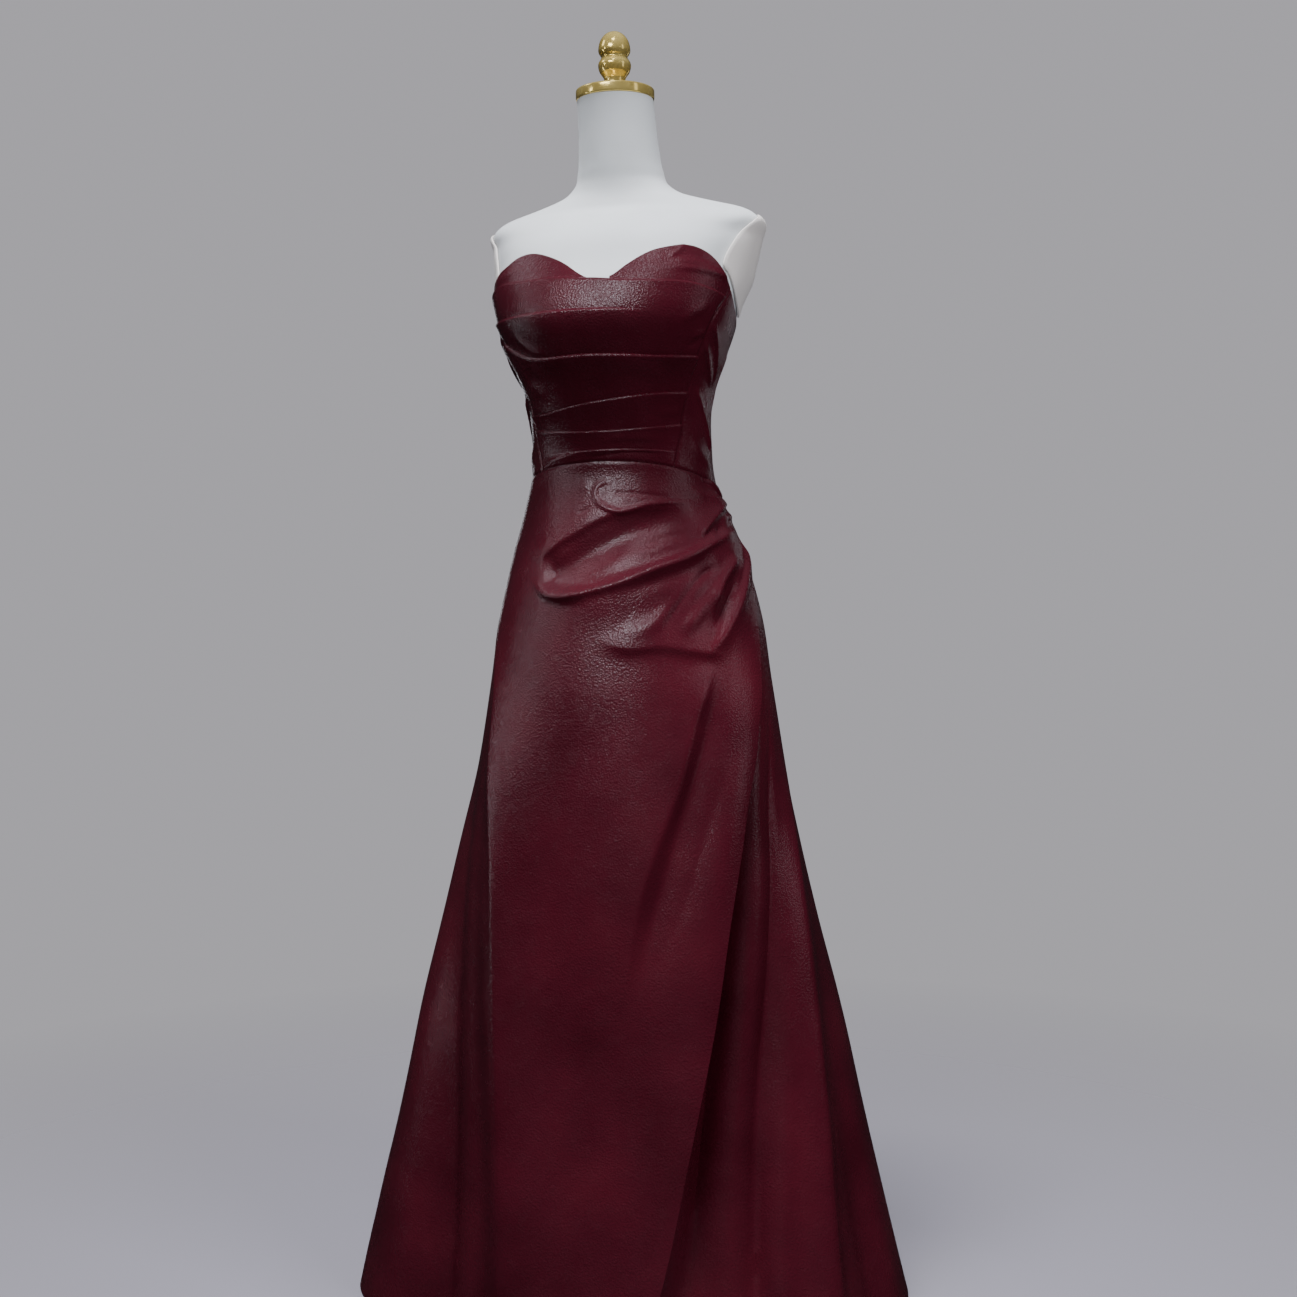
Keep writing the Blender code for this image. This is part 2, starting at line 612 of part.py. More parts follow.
def build_skirt(leather, collection):
    overlay = skirt_grid(ridge_seam, overlay_edge, OVERLAY_COLUMNS, overlay_rise)
    add_wall("skirt_front_drape", overlay, leather, collection)

    def lapped_edge(height):
        return overlay_edge(height) - OVERLAY_LAP_ANGLE

    under = skirt_grid(lapped_edge, constant(SIDE_BACK_SEAM), UNDER_GORE_COLUMNS, long_fold_rise)
    add_wall("skirt_gore_left_front", under, leather, collection)
    left_back = skirt_grid(constant(SIDE_BACK_SEAM), constant(180), BACK_GORE_COLUMNS, long_fold_rise)
    add_wall("skirt_gore_left_back", left_back, leather, collection)
    right_side = skirt_grid(constant(-SIDE_BACK_SEAM), ridge_seam, SIDE_GORE_COLUMNS, long_fold_rise)
    add_wall("skirt_gore_right_side", right_side, leather, collection)
    right_back = skirt_grid(constant(-180), constant(-SIDE_BACK_SEAM), BACK_GORE_COLUMNS, long_fold_rise)
    add_wall("skirt_gore_right_back", right_back, leather, collection)


def tuck_line(index, angle):
    """Height of a tuck's upturned edge; index 0 is the waist seam and the last the top tuck."""
    if index == 0:
        return waist_seam(angle) + 0.5 * (SEAM_GAP + WAIST_FLARE)
    if index > len(TUCKS):
        return top_tuck_edge(angle)
    heights = TUCKS[index - 1][TUCK_COLUMNS.index("heights")]
    return np.interp(angle, *smooth_curve(list(zip(TUCK_PLACES, heights))))


def tuck_rise(index, angle):
    """Height of a tuck's edge above the layer behind it."""
    if index == 0:
        return 0.0 * angle
    if index > len(TUCKS):
        return TOP_TUCK_RISE + 0.0 * angle
    tuck = dict(zip(TUCK_COLUMNS, TUCKS[index - 1]))
    enter = smooth_step((angle - tuck["from_angle"]) / TUCK_FADE_ANGLE)
    leave = smooth_step((tuck["to_angle"] - angle) / TUCK_FADE_ANGLE)
    return tuck["rise"] * enter * leave


def bodice_front_grid():
    """Points of the tucked panel: each layer leans out to its own edge and drops behind the next."""
    across = spread(-1.0, 1.0, FRONT_COLUMNS)
    rows = []
    for layer in range(len(TUCKS) + 1):
        for part in TUCK_ROWS:
            angle = across * princess_seam(FIRST_GUESS_HEIGHT)
            for _ in range(SETTLING_PASSES):
                low = tuck_line(layer, angle)
                high = tuck_line(layer + 1, angle)
                height = low + (high - low) * part
                edge = princess_seam(height) - seam_angle(height)
                angle = across * edge
            lean = (part / TUCK_ROWS[-1]) ** TUCK_LEAN_POWER
            rows.append(gown_point(angle, height, lean * tuck_rise(layer + 1, angle)))
    return np.stack(rows)


def bodice_panel_grid(low_edge, high_edge, start, finish, columns, rows):
    """Points of a plain bodice piece between two heights and two seams."""
    levels = spread(0.0, 1.0, rows)[:, None]
    across = spread(0.0, 1.0, columns)[None, :]
    angle = 0.0 * levels + across * FIRST_GUESS_ANGLE
    height = FIRST_GUESS_HEIGHT + 0.0 * angle
    for _ in range(SETTLING_PASSES):
        first = start(height)
        last = finish(height)
        angle = first + (last - first) * across
        low = low_edge(angle)
        height = low + (high_edge(angle) - low) * levels
    return gown_point(angle, height, 0.0 * angle)


def build_bodice(leather, collection):
    add_wall("bodice_front", bodice_front_grid(), leather, collection)

    def above_waist(angle):
        return waist_seam((angle + 180.0) % 360.0 - 180.0) + 0.5 * (SEAM_GAP + WAIST_FLARE)

    def cup_base(angle):
        return top_tuck_edge(angle) - TUCK_LAP

    for name, side in (("left", 1), ("right", -1)):

        def cup_seam(height, side=side):
            return side * (princess_seam(height) - seam_angle(height))

        cup = bodice_panel_grid(cup_base, neckline, constant(side * CUP_INNER_ANGLE), cup_seam,
                                CUP_COLUMNS, CUP_ROWS)
        add_wall("bodice_cup_" + name, cup if side > 0 else cup[:, ::-1], leather, collection)

        def front_seam(height, side=side):
            return side * (princess_seam(height) + seam_angle(height))

        def back_seam(height, side=side):
            return side * (SIDE_BACK_SEAM - seam_angle(height))

        side_panel = bodice_panel_grid(above_waist, neckline, front_seam, back_seam,
                                       SIDE_COLUMNS, SIDE_ROWS)
        add_wall("bodice_side_" + name, side_panel if side > 0 else side_panel[:, ::-1], leather, collection)

        def back_start(height, side=side):
            return side * (SIDE_BACK_SEAM + seam_angle(height))

        def back_finish(height, side=side):
            return side * (180.0 - seam_angle(height))

        back = bodice_panel_grid(above_waist, neckline, back_start, back_finish,
                                 BACK_COLUMNS, BACK_ROWS)
        add_wall("bodice_back_" + name, back if side > 0 else back[:, ::-1], leather, collection)


# Dress form

def tilted(points):
    """Leans the top of the neck forward, so that its cap faces the front a little."""
    lean = smooth_step((points[..., 2] - NECK_TILT_START) / (NECK_TOP - NECK_TILT_START))
    centre = np.interp(points[..., 2], *FORM_CURVES["centre"])
    leaned = points.copy()
    leaned[..., 2] += (points[..., 1] - centre) * math.tan(NECK_TILT) * lean
    return leaned


def build_torso(material, collection):
    heights = [FORM_BOTTOM, FORM_BOTTOM + TORSO_FOOT_ROUNDING]
    last = FORM_HIGH_SECTIONS[0][0] - 0.5 * TORSO_ROW_PITCH
    heights.extend(np.arange(FORM_BOTTOM + TORSO_ROW_PITCH, last, TORSO_ROW_PITCH))
    heights.extend(row[0] for row in FORM_HIGH_SECTIONS)
    angles = spread(0.0, 360.0, TORSO_COLUMNS + 1)[:-1]
    rings = []
    for index, height in enumerate(heights):
        ring = form_point(angles, np.full(angles.shape, height))
        if index == 0:
            middle = ring.mean(axis=0)
            ring = middle + (ring - middle) * TORSO_FOOT_SCALE
        rings.append(tilted(ring))
    add_loft("form_torso", rings, material, collection)


def build_arm_plate(name, side, material, collection):
    """Oval cover of an armhole, laid on the torso's own surface down to the gown's edge."""
    places = np.arange(len(PLATE_EDGE) + 1)
    sides = spread(0.0, len(PLATE_EDGE), PLATE_SIDES + 1)[:-1]
    closed = PLATE_EDGE + PLATE_EDGE[:1]
    edge = [np.interp(sides, *smooth_curve([(place, closed[place][column]) for place in places]))
            for column in (0, 1)]
    reaches = spread(0.0, 1.0, PLATE_RINGS + 1)[:, None]
    angle = side * (PLATE_CENTRE[0] + reaches * (edge[0] - PLATE_CENTRE[0]))
    height = PLATE_CENTRE[1] + reaches * (edge[1] - PLATE_CENTRE[1])
    rings = form_point(angle, height) + outward(FORM_CURVES, angle, height) * PLATE_GAP
    shape = bmesh.new()
    middle = shape.verts.new(rings[0, 0])
    levels = [[shape.verts.new(point) for point in ring] for ring in rings[1:]]
    for corner in range(PLATE_SIDES):
        after = (corner + 1) % PLATE_SIDES
        shape.faces.new((middle, levels[0][corner], levels[0][after]))
        for inner, outer in zip(levels, levels[1:]):
            shape.faces.new((inner[corner], outer[corner], outer[after], inner[after]))
    bmesh.ops.recalc_face_normals(shape, faces=shape.faces)
    shape.faces.ensure_lookup_table()
    if shape.faces[0].normal.x * side < 0.0:
        bmesh.ops.reverse_faces(shape, faces=shape.faces)
    mesh = bpy.data.meshes.new(name)
    shape.to_mesh(mesh)
    shape.free()
    plate = add_object(name, mesh, material, collection)
    solidify = plate.modifiers.new("thickness", "SOLIDIFY")
    solidify.thickness = PLATE_THICKNESS
    solidify.offset = 1.0


def build_cap_and_finial(gold, collection):
    centre = float(np.interp(NECK_TOP, *FORM_CURVES["centre"]))
    lift = CONTACT_GAP / math.cos(NECK_TILT)
    place = (0.0, centre, NECK_TOP + lift)
    cap = [
        (0.0, CAP_THICKNESS), (CAP_RADIUS - CAP_ROUNDING, CAP_THICKNESS),
        (CAP_RADIUS - CAP_CORNER, CAP_THICKNESS - CAP_CORNER), (CAP_RADIUS, CAP_THICKNESS - CAP_ROUNDING),
        (CAP_RADIUS, CAP_ROUNDING), (CAP_RADIUS - CAP_CORNER, CAP_CORNER),
        (CAP_RADIUS - CAP_ROUNDING, 0.0), (0.0, 0.0),
    ]
    add_turned("form_neck_cap", cap, gold, collection, place, NECK_TILT)
    top = CAP_THICKNESS + CONTACT_GAP
    foot = (0.0, centre - top * math.sin(NECK_TILT), NECK_TOP + lift + top * math.cos(NECK_TILT))
    add_turned("form_finial", FINIAL_PROFILE, gold, collection, foot, NECK_TILT)


def build_stand(steel, collection):
    base = [
        (0.0, BASE_THICKNESS), (BASE_RADIUS - BASE_BEVEL, BASE_THICKNESS),
        (BASE_RADIUS, BASE_THICKNESS - BASE_BEVEL),
        (BASE_RADIUS, 0.0), (0.0, 0.0),
    ]
    add_turned("form_base", base, steel, collection)
    hub_foot = BASE_THICKNESS + CONTACT_GAP
    hub_top = hub_foot + HUB_HEIGHT
    collar_top = FORM_BOTTOM - CONTACT_GAP
    collar_foot = collar_top - COLLAR_HEIGHT
    hub = [
        (0.0, hub_top), (POLE_RADIUS + HUB_WALL - HUB_BEVEL, hub_top),
        (POLE_RADIUS + HUB_WALL, hub_top - HUB_BEVEL),
        (HUB_RADIUS, hub_foot + HUB_RIM), (HUB_RADIUS, hub_foot), (0.0, hub_foot),
    ]
    add_turned("form_hub", hub, steel, collection)
    pole = [
        (0.0, collar_foot - CONTACT_GAP), (POLE_RADIUS, collar_foot - CONTACT_GAP),
        (POLE_RADIUS, hub_top + CONTACT_GAP), (0.0, hub_top + CONTACT_GAP),
    ]
    add_turned("form_pole", pole, steel, collection)
    collar = [
        (0.0, collar_top), (COLLAR_RADIUS, collar_top), (COLLAR_RADIUS, collar_top - COLLAR_RIM),
        (POLE_RADIUS + HUB_WALL, collar_foot), (0.0, collar_foot),
    ]
    add_turned("form_collar", collar, steel, collection)


def main():
    for thing in list(bpy.data.objects):
        bpy.data.objects.remove(thing, do_unlink=True)
    collection = make_collection(COLLECTION_NAME)
    leather = make_material("burgundy_leather", LEATHER_COLOUR, LEATHER_ROUGHNESS)
    fabric = make_material("form_jersey", FORM_COLOUR, FORM_ROUGHNESS)
    gold = make_material("polished_gold", GOLD_COLOUR, GOLD_ROUGHNESS, 1.0)
    steel = make_material("satin_steel", STEEL_COLOUR, STEEL_ROUGHNESS, 1.0)
    build_bodice(leather, collection)
    build_skirt(leather, collection)
    build_torso(fabric, collection)
    build_arm_plate("form_arm_plate_left", 1, fabric, collection)
    build_arm_plate("form_arm_plate_right", -1, fabric, collection)
    build_cap_and_finial(gold, collection)
    build_stand(steel, collection)


main()
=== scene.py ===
# Looks of a strapless leather gown on a dress form without limbs.
# Metres, +Z up, front towards -Y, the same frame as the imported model.
# Angles run round the body in degrees: 0 is centre front, +90 the wearer's left side (+X).

import math

import bpy
import numpy as np
from mathutils import Matrix


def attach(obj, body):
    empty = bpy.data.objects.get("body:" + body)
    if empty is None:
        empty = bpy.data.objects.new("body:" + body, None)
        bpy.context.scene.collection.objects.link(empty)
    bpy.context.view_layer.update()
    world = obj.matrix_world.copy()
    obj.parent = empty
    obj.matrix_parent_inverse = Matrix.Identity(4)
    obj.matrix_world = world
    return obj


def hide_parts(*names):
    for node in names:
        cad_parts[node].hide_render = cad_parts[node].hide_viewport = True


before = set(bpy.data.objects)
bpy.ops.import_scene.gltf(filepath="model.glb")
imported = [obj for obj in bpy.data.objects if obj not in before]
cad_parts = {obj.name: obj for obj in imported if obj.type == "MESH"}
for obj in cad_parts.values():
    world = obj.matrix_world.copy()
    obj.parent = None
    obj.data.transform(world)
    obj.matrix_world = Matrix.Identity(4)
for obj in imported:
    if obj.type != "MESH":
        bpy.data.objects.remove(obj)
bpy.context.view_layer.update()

# Camera, as the photograph was taken, in an image of 1297 x 1297 pixels
IMAGE_WIDTH = 1297.0
FOCAL_PIXELS = 1694.0
SENSOR_WIDTH = 36.0
CAMERA_DISTANCE = 2.2
CAMERA_HEIGHT = 0.90
CAMERA_AZIMUTH = math.radians(17.0)
CAMERA_PITCH = math.radians(-1.6)
CAMERA_ROLL = math.radians(0.54)
AXIS_PIXEL = 621.5

# The wearer's sides, as signs of X and of angles, and the way up
SIDES = (("left", 1), ("right", -1))
UP = np.array([0.0, 0.0, 1.0])

# Driving dimensions, the same as the solids have
HEM_HEIGHT = 0.0015
CLOTH = 0.0015
SEAM_GAP = 0.0003
WAIST_FLARE = 0.0003
LAP_GAP = 0.0012
FORM_CLEARANCE = 0.0010
TUCK_LAP = 0.004
FORM_BOTTOM = 0.800
NECK_TOP = 1.5427
NECK_TILT = math.radians(1.5)
NECK_TILT_START = 1.455

# Inside of the smooth gown, from hem to cups
SECTION_COLUMNS = ("height", "half_width", "centre", "front", "back", "squareness", "shift")
GOWN_SECTIONS = (
    (0.000, 0.362, 0.000, 0.255, 0.400, 2.00, 0.000),
    (0.060, 0.348, 0.000, 0.247, 0.370, 2.00, 0.000),
    (0.280, 0.297, 0.004, 0.224, 0.306, 2.00, 0.001),
    (0.545, 0.236, 0.010, 0.198, 0.232, 2.00, 0.003),
    (0.710, 0.198, 0.014, 0.176, 0.190, 2.05, 0.006),
    (0.800, 0.182, 0.016, 0.161, 0.168, 2.10, 0.007),
    (0.880, 0.171, 0.018, 0.1435, 0.146, 2.10, 0.007),
    (0.930, 0.159, 0.018, 0.130, 0.133, 2.10, 0.006),
    (0.970, 0.147, 0.017, 0.118, 0.122, 2.10, 0.004),
    (1.000, 0.136, 0.016, 0.109, 0.112, 2.10, 0.002),
    (1.030, 0.126, 0.015, 0.100, 0.101, 2.10, 0.000),
    (1.065, 0.118, 0.014, 0.093, 0.091, 2.10, 0.000),
    (1.100, 0.116, 0.012, 0.094, 0.090, 2.10, 0.000),
    (1.135, 0.116, 0.008, 0.099, 0.094, 2.15, 0.000),
    (1.170, 0.121, 0.002, 0.106, 0.102, 2.20, 0.000),
    (1.210, 0.136, -0.006, 0.115, 0.112, 2.35, 0.001),
    (1.250, 0.150, -0.010, 0.121, 0.116, 2.45, 0.002),
    (1.285, 0.1575, -0.006, 0.117, 0.112, 2.45, 0.002),
    (1.320, 0.1635, 0.002, 0.109, 0.101, 2.40, 0.003),
    (1.360, 0.171, 0.012, 0.097, 0.088, 2.35, 0.004),
    (1.389, 0.176, 0.022, 0.076, 0.072, 2.25, 0.004),
)

# The form where the gown hangs clear of it, and above the cups
FORM_LOW_SECTIONS = (
    (0.800, 0.150, 0.020, 0.105, 0.103, 2.00, 0.0),
    (0.840, 0.157, 0.020, 0.112, 0.112, 2.00, 0.0),
    (0.880, 0.1595, 0.019, 0.113, 0.116, 2.00, 0.0),
    (0.930, 0.150, 0.018, 0.108, 0.110, 2.00, 0.0),
    (0.970, 0.138, 0.016, 0.100, 0.102, 2.00, 0.0),
    (1.000, 0.1275, 0.015, 0.094, 0.095, 2.05, 0.0),
    (1.030, 0.1185, 0.014, 0.089, 0.088, 2.10, 0.0),
    (1.065, 0.1160, 0.014, 0.0905, 0.0885, 2.10, 0.0),
    (1.100, 0.1145, 0.012, 0.0922, 0.0882, 2.10, 0.0),
)
FORM_HIGH_SECTIONS = (
    (1.360, 0.1700, 0.012, 0.0960, 0.0870, 2.35, 0.004),
    (1.389, 0.1750, 0.022, 0.0750, 0.0710, 2.25, 0.004),
    (1.400, 0.1600, 0.026, 0.0640, 0.0630, 2.15, 0.003),
    (1.410, 0.1260, 0.027, 0.0600, 0.0590, 2.05, 0.002),
    (1.422, 0.0860, 0.025, 0.0550, 0.0560, 2.00, 0.001),
    (1.436, 0.0640, 0.022, 0.0520, 0.0530, 2.00, 0.0),
    (1.455, 0.0560, 0.017, 0.0510, 0.0510, 2.00, 0.0),
    (1.480, 0.0525, 0.011, 0.0500, 0.0500, 2.00, 0.0),
    (1.515, 0.0500, 0.003, 0.0485, 0.0485, 2.00, 0.0),
    (NECK_TOP, 0.0490, -0.004, 0.0480, 0.0480, 2.00, 0.0),
)
# The armholes face a little forward: the chest is narrower before them and the back is wider behind them
ARM_LOW = 1.268
ARM_HIGH = 1.404
ARM_FADE = 0.045
CHEST_ANGLE = 66.0
CHEST_HOLLOW = 0.005
BLADE_ANGLE = 106.0
BLADE_RISE = 0.009
ARM_SPREAD = 20.0

# Edges of the pieces, each point an angle and a height; the princess seam a height and an angle
NECKLINE = (
    (-180, 1.232), (-150, 1.233), (-115, 1.240), (-95, 1.258), (-82, 1.283), (-72, 1.302), (-60, 1.314),
    (-46, 1.325), (-36, 1.334), (-27, 1.336), (-18, 1.329), (-9, 1.315), (-4, 1.303), (-1, 1.2968),
    (2, 1.2955), (6, 1.2972), (11, 1.310), (19, 1.326), (29, 1.334), (37, 1.336), (48, 1.330), (60, 1.316),
    (70, 1.300), (82, 1.280), (95, 1.258), (115, 1.240), (150, 1.233), (180, 1.232),
)
WAIST_SEAM = (
    (-180, 1.050), (-120, 1.052), (-90, 1.058), (-54, 1.066), (-30, 1.072), (0, 1.0755),
    (30, 1.072), (50, 1.066), (70, 1.058), (90, 1.050), (120, 1.046), (180, 1.050),
)
TOP_TUCK_EDGE = (
    (-80, 1.285), (-60, 1.298), (-45, 1.301), (-28, 1.299), (-12, 1.300), (0, 1.2955), (8, 1.292),
    (20, 1.290), (44, 1.288), (62, 1.281), (80, 1.273),
)
PRINCESS_SEAM = (
    (1.040, 46), (1.070, 47), (1.100, 52), (1.140, 57), (1.170, 61),
    (1.210, 63), (1.250, 67), (1.285, 76), (1.300, 80),
)
SIDE_BACK_SEAM = 118

# Tucks across the bodice front: heights of each upturned edge from the wearer's right to left, how far it
# stands out, and the angles between which it shows
TUCK_PLACES = (-60, -35, 0, 35, 60)
TUCKS = (
    ((1.079, 1.085, 1.089, 1.088, 1.085), 0.0030, -22, 52),
    ((1.121, 1.1155, 1.112, 1.1165, 1.122), 0.0032, -70, 90),
    ((1.137, 1.138, 1.148, 1.1565, 1.160), 0.0040, -90, 95),
    ((1.228, 1.2055, 1.203, 1.200, 1.202), 0.0048, -90, 95),
    ((1.254, 1.2555, 1.2565, 1.250, 1.243), 0.0034, -90, 22),
)
TOP_TUCK_RISE = 0.0030
TUCK_FADE_ANGLE = 22
TUCK_ROWS = (
    0.0, 0.02, 0.05, 0.10, 0.16, 0.24, 0.32, 0.41, 0.50, 0.59, 0.68, 0.76, 0.83, 0.89, 0.93,
    0.95, 0.962, 0.974, 0.984, 0.992, 0.998,
)
TUCK_ROLL_START = 0.95
TUCK_LEAN_POWER = 1.5
CUP_INNER_ANGLES = {"left": 5.5, "right": 1.2}

# Long folds of the skirt: the height and angle where each starts at the hip, its angle at the hem, how it
# sweeps between them, its rise, and its width to the right and to the left
FOLD_GROWTH_POWER = 0.8
LONG_FOLDS = (
    (0.92, -62, -12, 1.75, 0.017, 0.022, 0.050),
    (0.86, -80, -32, 1.65, -0.030, 0.065, 0.032),
    (0.92, 97, 28, 2.10, -0.026, 0.026, 0.032),
    (0.80, 98, 39, 1.75, -0.020, 0.032, 0.016),
    (0.80, 104, 56, 1.65, 0.016, 0.028, 0.022),
    (0.76, 107, 76, 1.65, -0.018, 0.040, 0.045),
    (0.90, 138, 136, 1.65, -0.032, 0.050, 0.050),
    (0.92, 165, 162, 1.65, -0.028, 0.042, 0.050),
    (0.95, -167, -163, 1.65, -0.028, 0.050, 0.042),
    (0.90, -140, -135, 1.65, -0.034, 0.050, 0.050),
    (0.82, -98, -88, 1.65, -0.020, 0.045, 0.050),
)

# Overlay of the skirt: its free edge and its seam beside the front ridge
OVERLAY_TOP = 0.900
OVERLAY_EDGE = (
    (0.000, 13.5), (0.099, 19), (0.257, 27), (0.428, 37.5), (0.531, 44), (0.600, 49.5), (0.671, 56),
    (0.716, 62), (0.752, 65.5), (0.801, 71), (0.850, 76.5), (0.900, 82), (1.000, 94), (1.080, 100),
)
OVERLAY_LAP_ANGLE = 11
OVERLAY_RAMP_ANGLE = 16
OVERLAY_LIFT = CLOTH + LAP_GAP
OVERLAY_EDGE_RISE = 0.012
OVERLAY_EDGE_WIDTH = 0.045
OVERLAY_FREE_RUN = 0.14
OVERLAY_DEEPEST = -0.030
RIDGE_SEAM_TOP_ANGLE = -84
RIDGE_SEAM_TOP = 0.930
RIDGE_SEAM_HEM_ANGLE = -17
RIDGE_SEAM_SWEEP = 1.65

# Folds and creases, listed one by one: points of the line, as angle and height, from the hip inwards, then
# the height of the ridge, its width on either side, the share of the line that fades at each end, and how
# round its crest is, from 1 for a sharp edge to 2 for a round one
CREASE_RADIUS = 0.150
CREASE_STEPS = 40
HIP_FOLDS = (
    # Hooked fold below the waist and its inner crease
    (((60, 1.023), (26, 1.02), (8, 1.012), (3, 1.017), (-2, 1.031), (-2, 1.042), (2, 1.049), (7, 1.051)),
     0.0025, 0.0028, 0.0028, 0.4, 0.15, 1.6),
    (((42, 1.027), (31, 1.031), (15, 1.034), (2, 1.036)), -0.001, 0.003, 0.003, 0.3, 0.25, 1.6),
    (((-4, 1.04), (-14, 1.049)), 0.0012, 0.007, 0.008, 0.35, 0.45, 2.0),
    (((-4, 1.018), (-12, 1.008)), -0.0014, 0.003, 0.003, 0.35, 0.35, 1.6),
    # Gathers that run to the upper hip point
    (((96, 1.027), (76, 1.048), (68, 1.058)), -0.0036, 0.0035, 0.004, 0.1, 0.35, 1.4),
    (((96, 1.03), (82, 1.05), (74, 1.062)), 0.0026, 0.005, 0.004, 0.1, 0.35, 1.6),
    (((96, 1.027), (60, 1.036), (42, 1.044)), 0.002, 0.008, 0.007, 0.15, 0.5, 1.8),
    (((96, 1.028), (70, 1.004), (56, 0.985), (49, 0.969)), 0.0052, 0.011, 0.0034, 0.12, 0.25, 1.3),
    (((92, 1.003), (74, 0.992), (61, 0.973)), -0.0044, 0.0045, 0.005, 0.15, 0.35, 1.5),
    (((101, 1.01), (86, 1.004), (72, 0.986)), 0.0034, 0.005, 0.005, 0.15, 0.35, 1.6),
    # Upper brink of the swag, its hollow, the pleat that ends it and the shelf at its end
    (((60, 1.019), (34, 1.017), (8, 1.01), (0, 1.003), (-6, 0.995), (-12, 0.986), (-19, 0.977), (-25, 0.967),
      (-30, 0.957), (-33, 0.943)), 0.0036, 0.034, 0.006, 0.4, 0.12, 1.6),
    (((56, 1.0), (34, 0.996), (20, 0.987), (6, 0.972), (-5, 0.956), (-16, 0.94), (-29, 0.93)),
     -0.008, 0.02, 0.02, 0.35, 0.08, 2.0),
    (((58, 0.984), (36, 0.975), (20, 0.963), (6, 0.945), (-5, 0.93), (-14, 0.921)),
     0.0016, 0.018, 0.022, 0.3, 0.4, 2.0),
    (((50, 0.984), (36, 0.979), (22, 0.969), (10, 0.955)), -0.0016, 0.005, 0.006, 0.3, 0.4, 2.0),
    (((103, 0.993), (70, 0.98), (56, 0.969), (40, 0.953), (24, 0.939), (8, 0.922), (-4, 0.912), (-10, 0.908),
      (-16, 0.906), (-23, 0.909), (-30, 0.919), (-34, 0.932)), 0.0044, 0.006, 0.0056, 0.25, 0.1, 1.5),
    (((84, 0.985), (56, 0.969), (40, 0.953), (24, 0.939), (8, 0.922), (-4, 0.912), (-16, 0.907),
      (-26, 0.913)), 0.0044, 0.008, 0.034, 0.3, 0.25, 2.0),
    (((60, 0.956), (44, 0.94), (24, 0.924), (6, 0.906)), -0.0028, 0.008, 0.01, 0.3, 0.35, 2.0),
    (((-2, 0.915), (-10, 0.911), (-19, 0.912), (-27, 0.921)), 0.003, 0.01, 0.01, 0.35, 0.25, 2.0),
    # Pouch below it, with folds that fan out from the lower hip point
    (((58, 0.824), (49, 0.835), (38, 0.84), (25, 0.846), (13, 0.843), (5, 0.85), (1, 0.862)),
     0.0044, 0.026, 0.009, 0.25, 0.25, 1.6),
    (((54, 0.934), (41, 0.913), (30, 0.887), (19, 0.866), (6, 0.853)), 0.0036, 0.009, 0.011, 0.25, 0.35, 2.0),
    (((60, 0.945), (49, 0.932), (36, 0.901), (28, 0.871), (25, 0.856)),
     -0.0042, 0.006, 0.006, 0.25, 0.3, 1.7),
    (((62, 0.925), (50, 0.903), (40, 0.876), (33, 0.852)), 0.0044, 0.008, 0.009, 0.3, 0.3, 2.0),
    (((80, 0.957), (69, 0.943), (57, 0.917), (50, 0.888), (46, 0.868)), 0.0052, 0.007, 0.006, 0.2, 0.35, 1.8),
    (((92, 0.966), (85, 0.954), (78, 0.938), (68, 0.916), (62, 0.898), (56, 0.88), (48, 0.862)),
     -0.01, 0.006, 0.0048, 0.15, 0.35, 1.6),
    (((98, 0.988), (90, 0.952), (79, 0.93), (69, 0.903), (60, 0.877), (54, 0.857), (49, 0.842), (44, 0.828)),
     0.0066, 0.0042, 0.013, 0.15, 0.2, 1.4),
    # Fold that runs on from it down the front, the trough behind it, and a shorter fold beside that
    (((50, 0.832), (46, 0.803), (40, 0.766), (37, 0.738), (30, 0.668), (24, 0.616), (19, 0.564), (14, 0.471),
      (11, 0.4), (9, 0.34)), 0.0085, 0.04, 0.0085, 0.12, 0.45, 1.25),
    (((51, 0.795), (45, 0.742), (38, 0.683), (31, 0.624), (25, 0.555), (20, 0.487), (17, 0.42)),
     -0.006, 0.008, 0.022, 0.2, 0.35, 1.8),
    (((62, 0.76), (46, 0.629), (27, 0.462), (18, 0.36)), 0.0046, 0.018, 0.02, 0.35, 0.4, 2.0),
    # Crest of the ridge down the wearer's right side
    (((-80, 0.905), (-64, 0.85), (-52, 0.8), (-42, 0.7), (-32, 0.594), (-24.5, 0.47), (-18.5, 0.33),
      (-15, 0.215), (-12, 0.1), (-10.5, 0.02)), 0.0075, 0.0085, 0.03, 0.25, 0.35, 1.45),
)
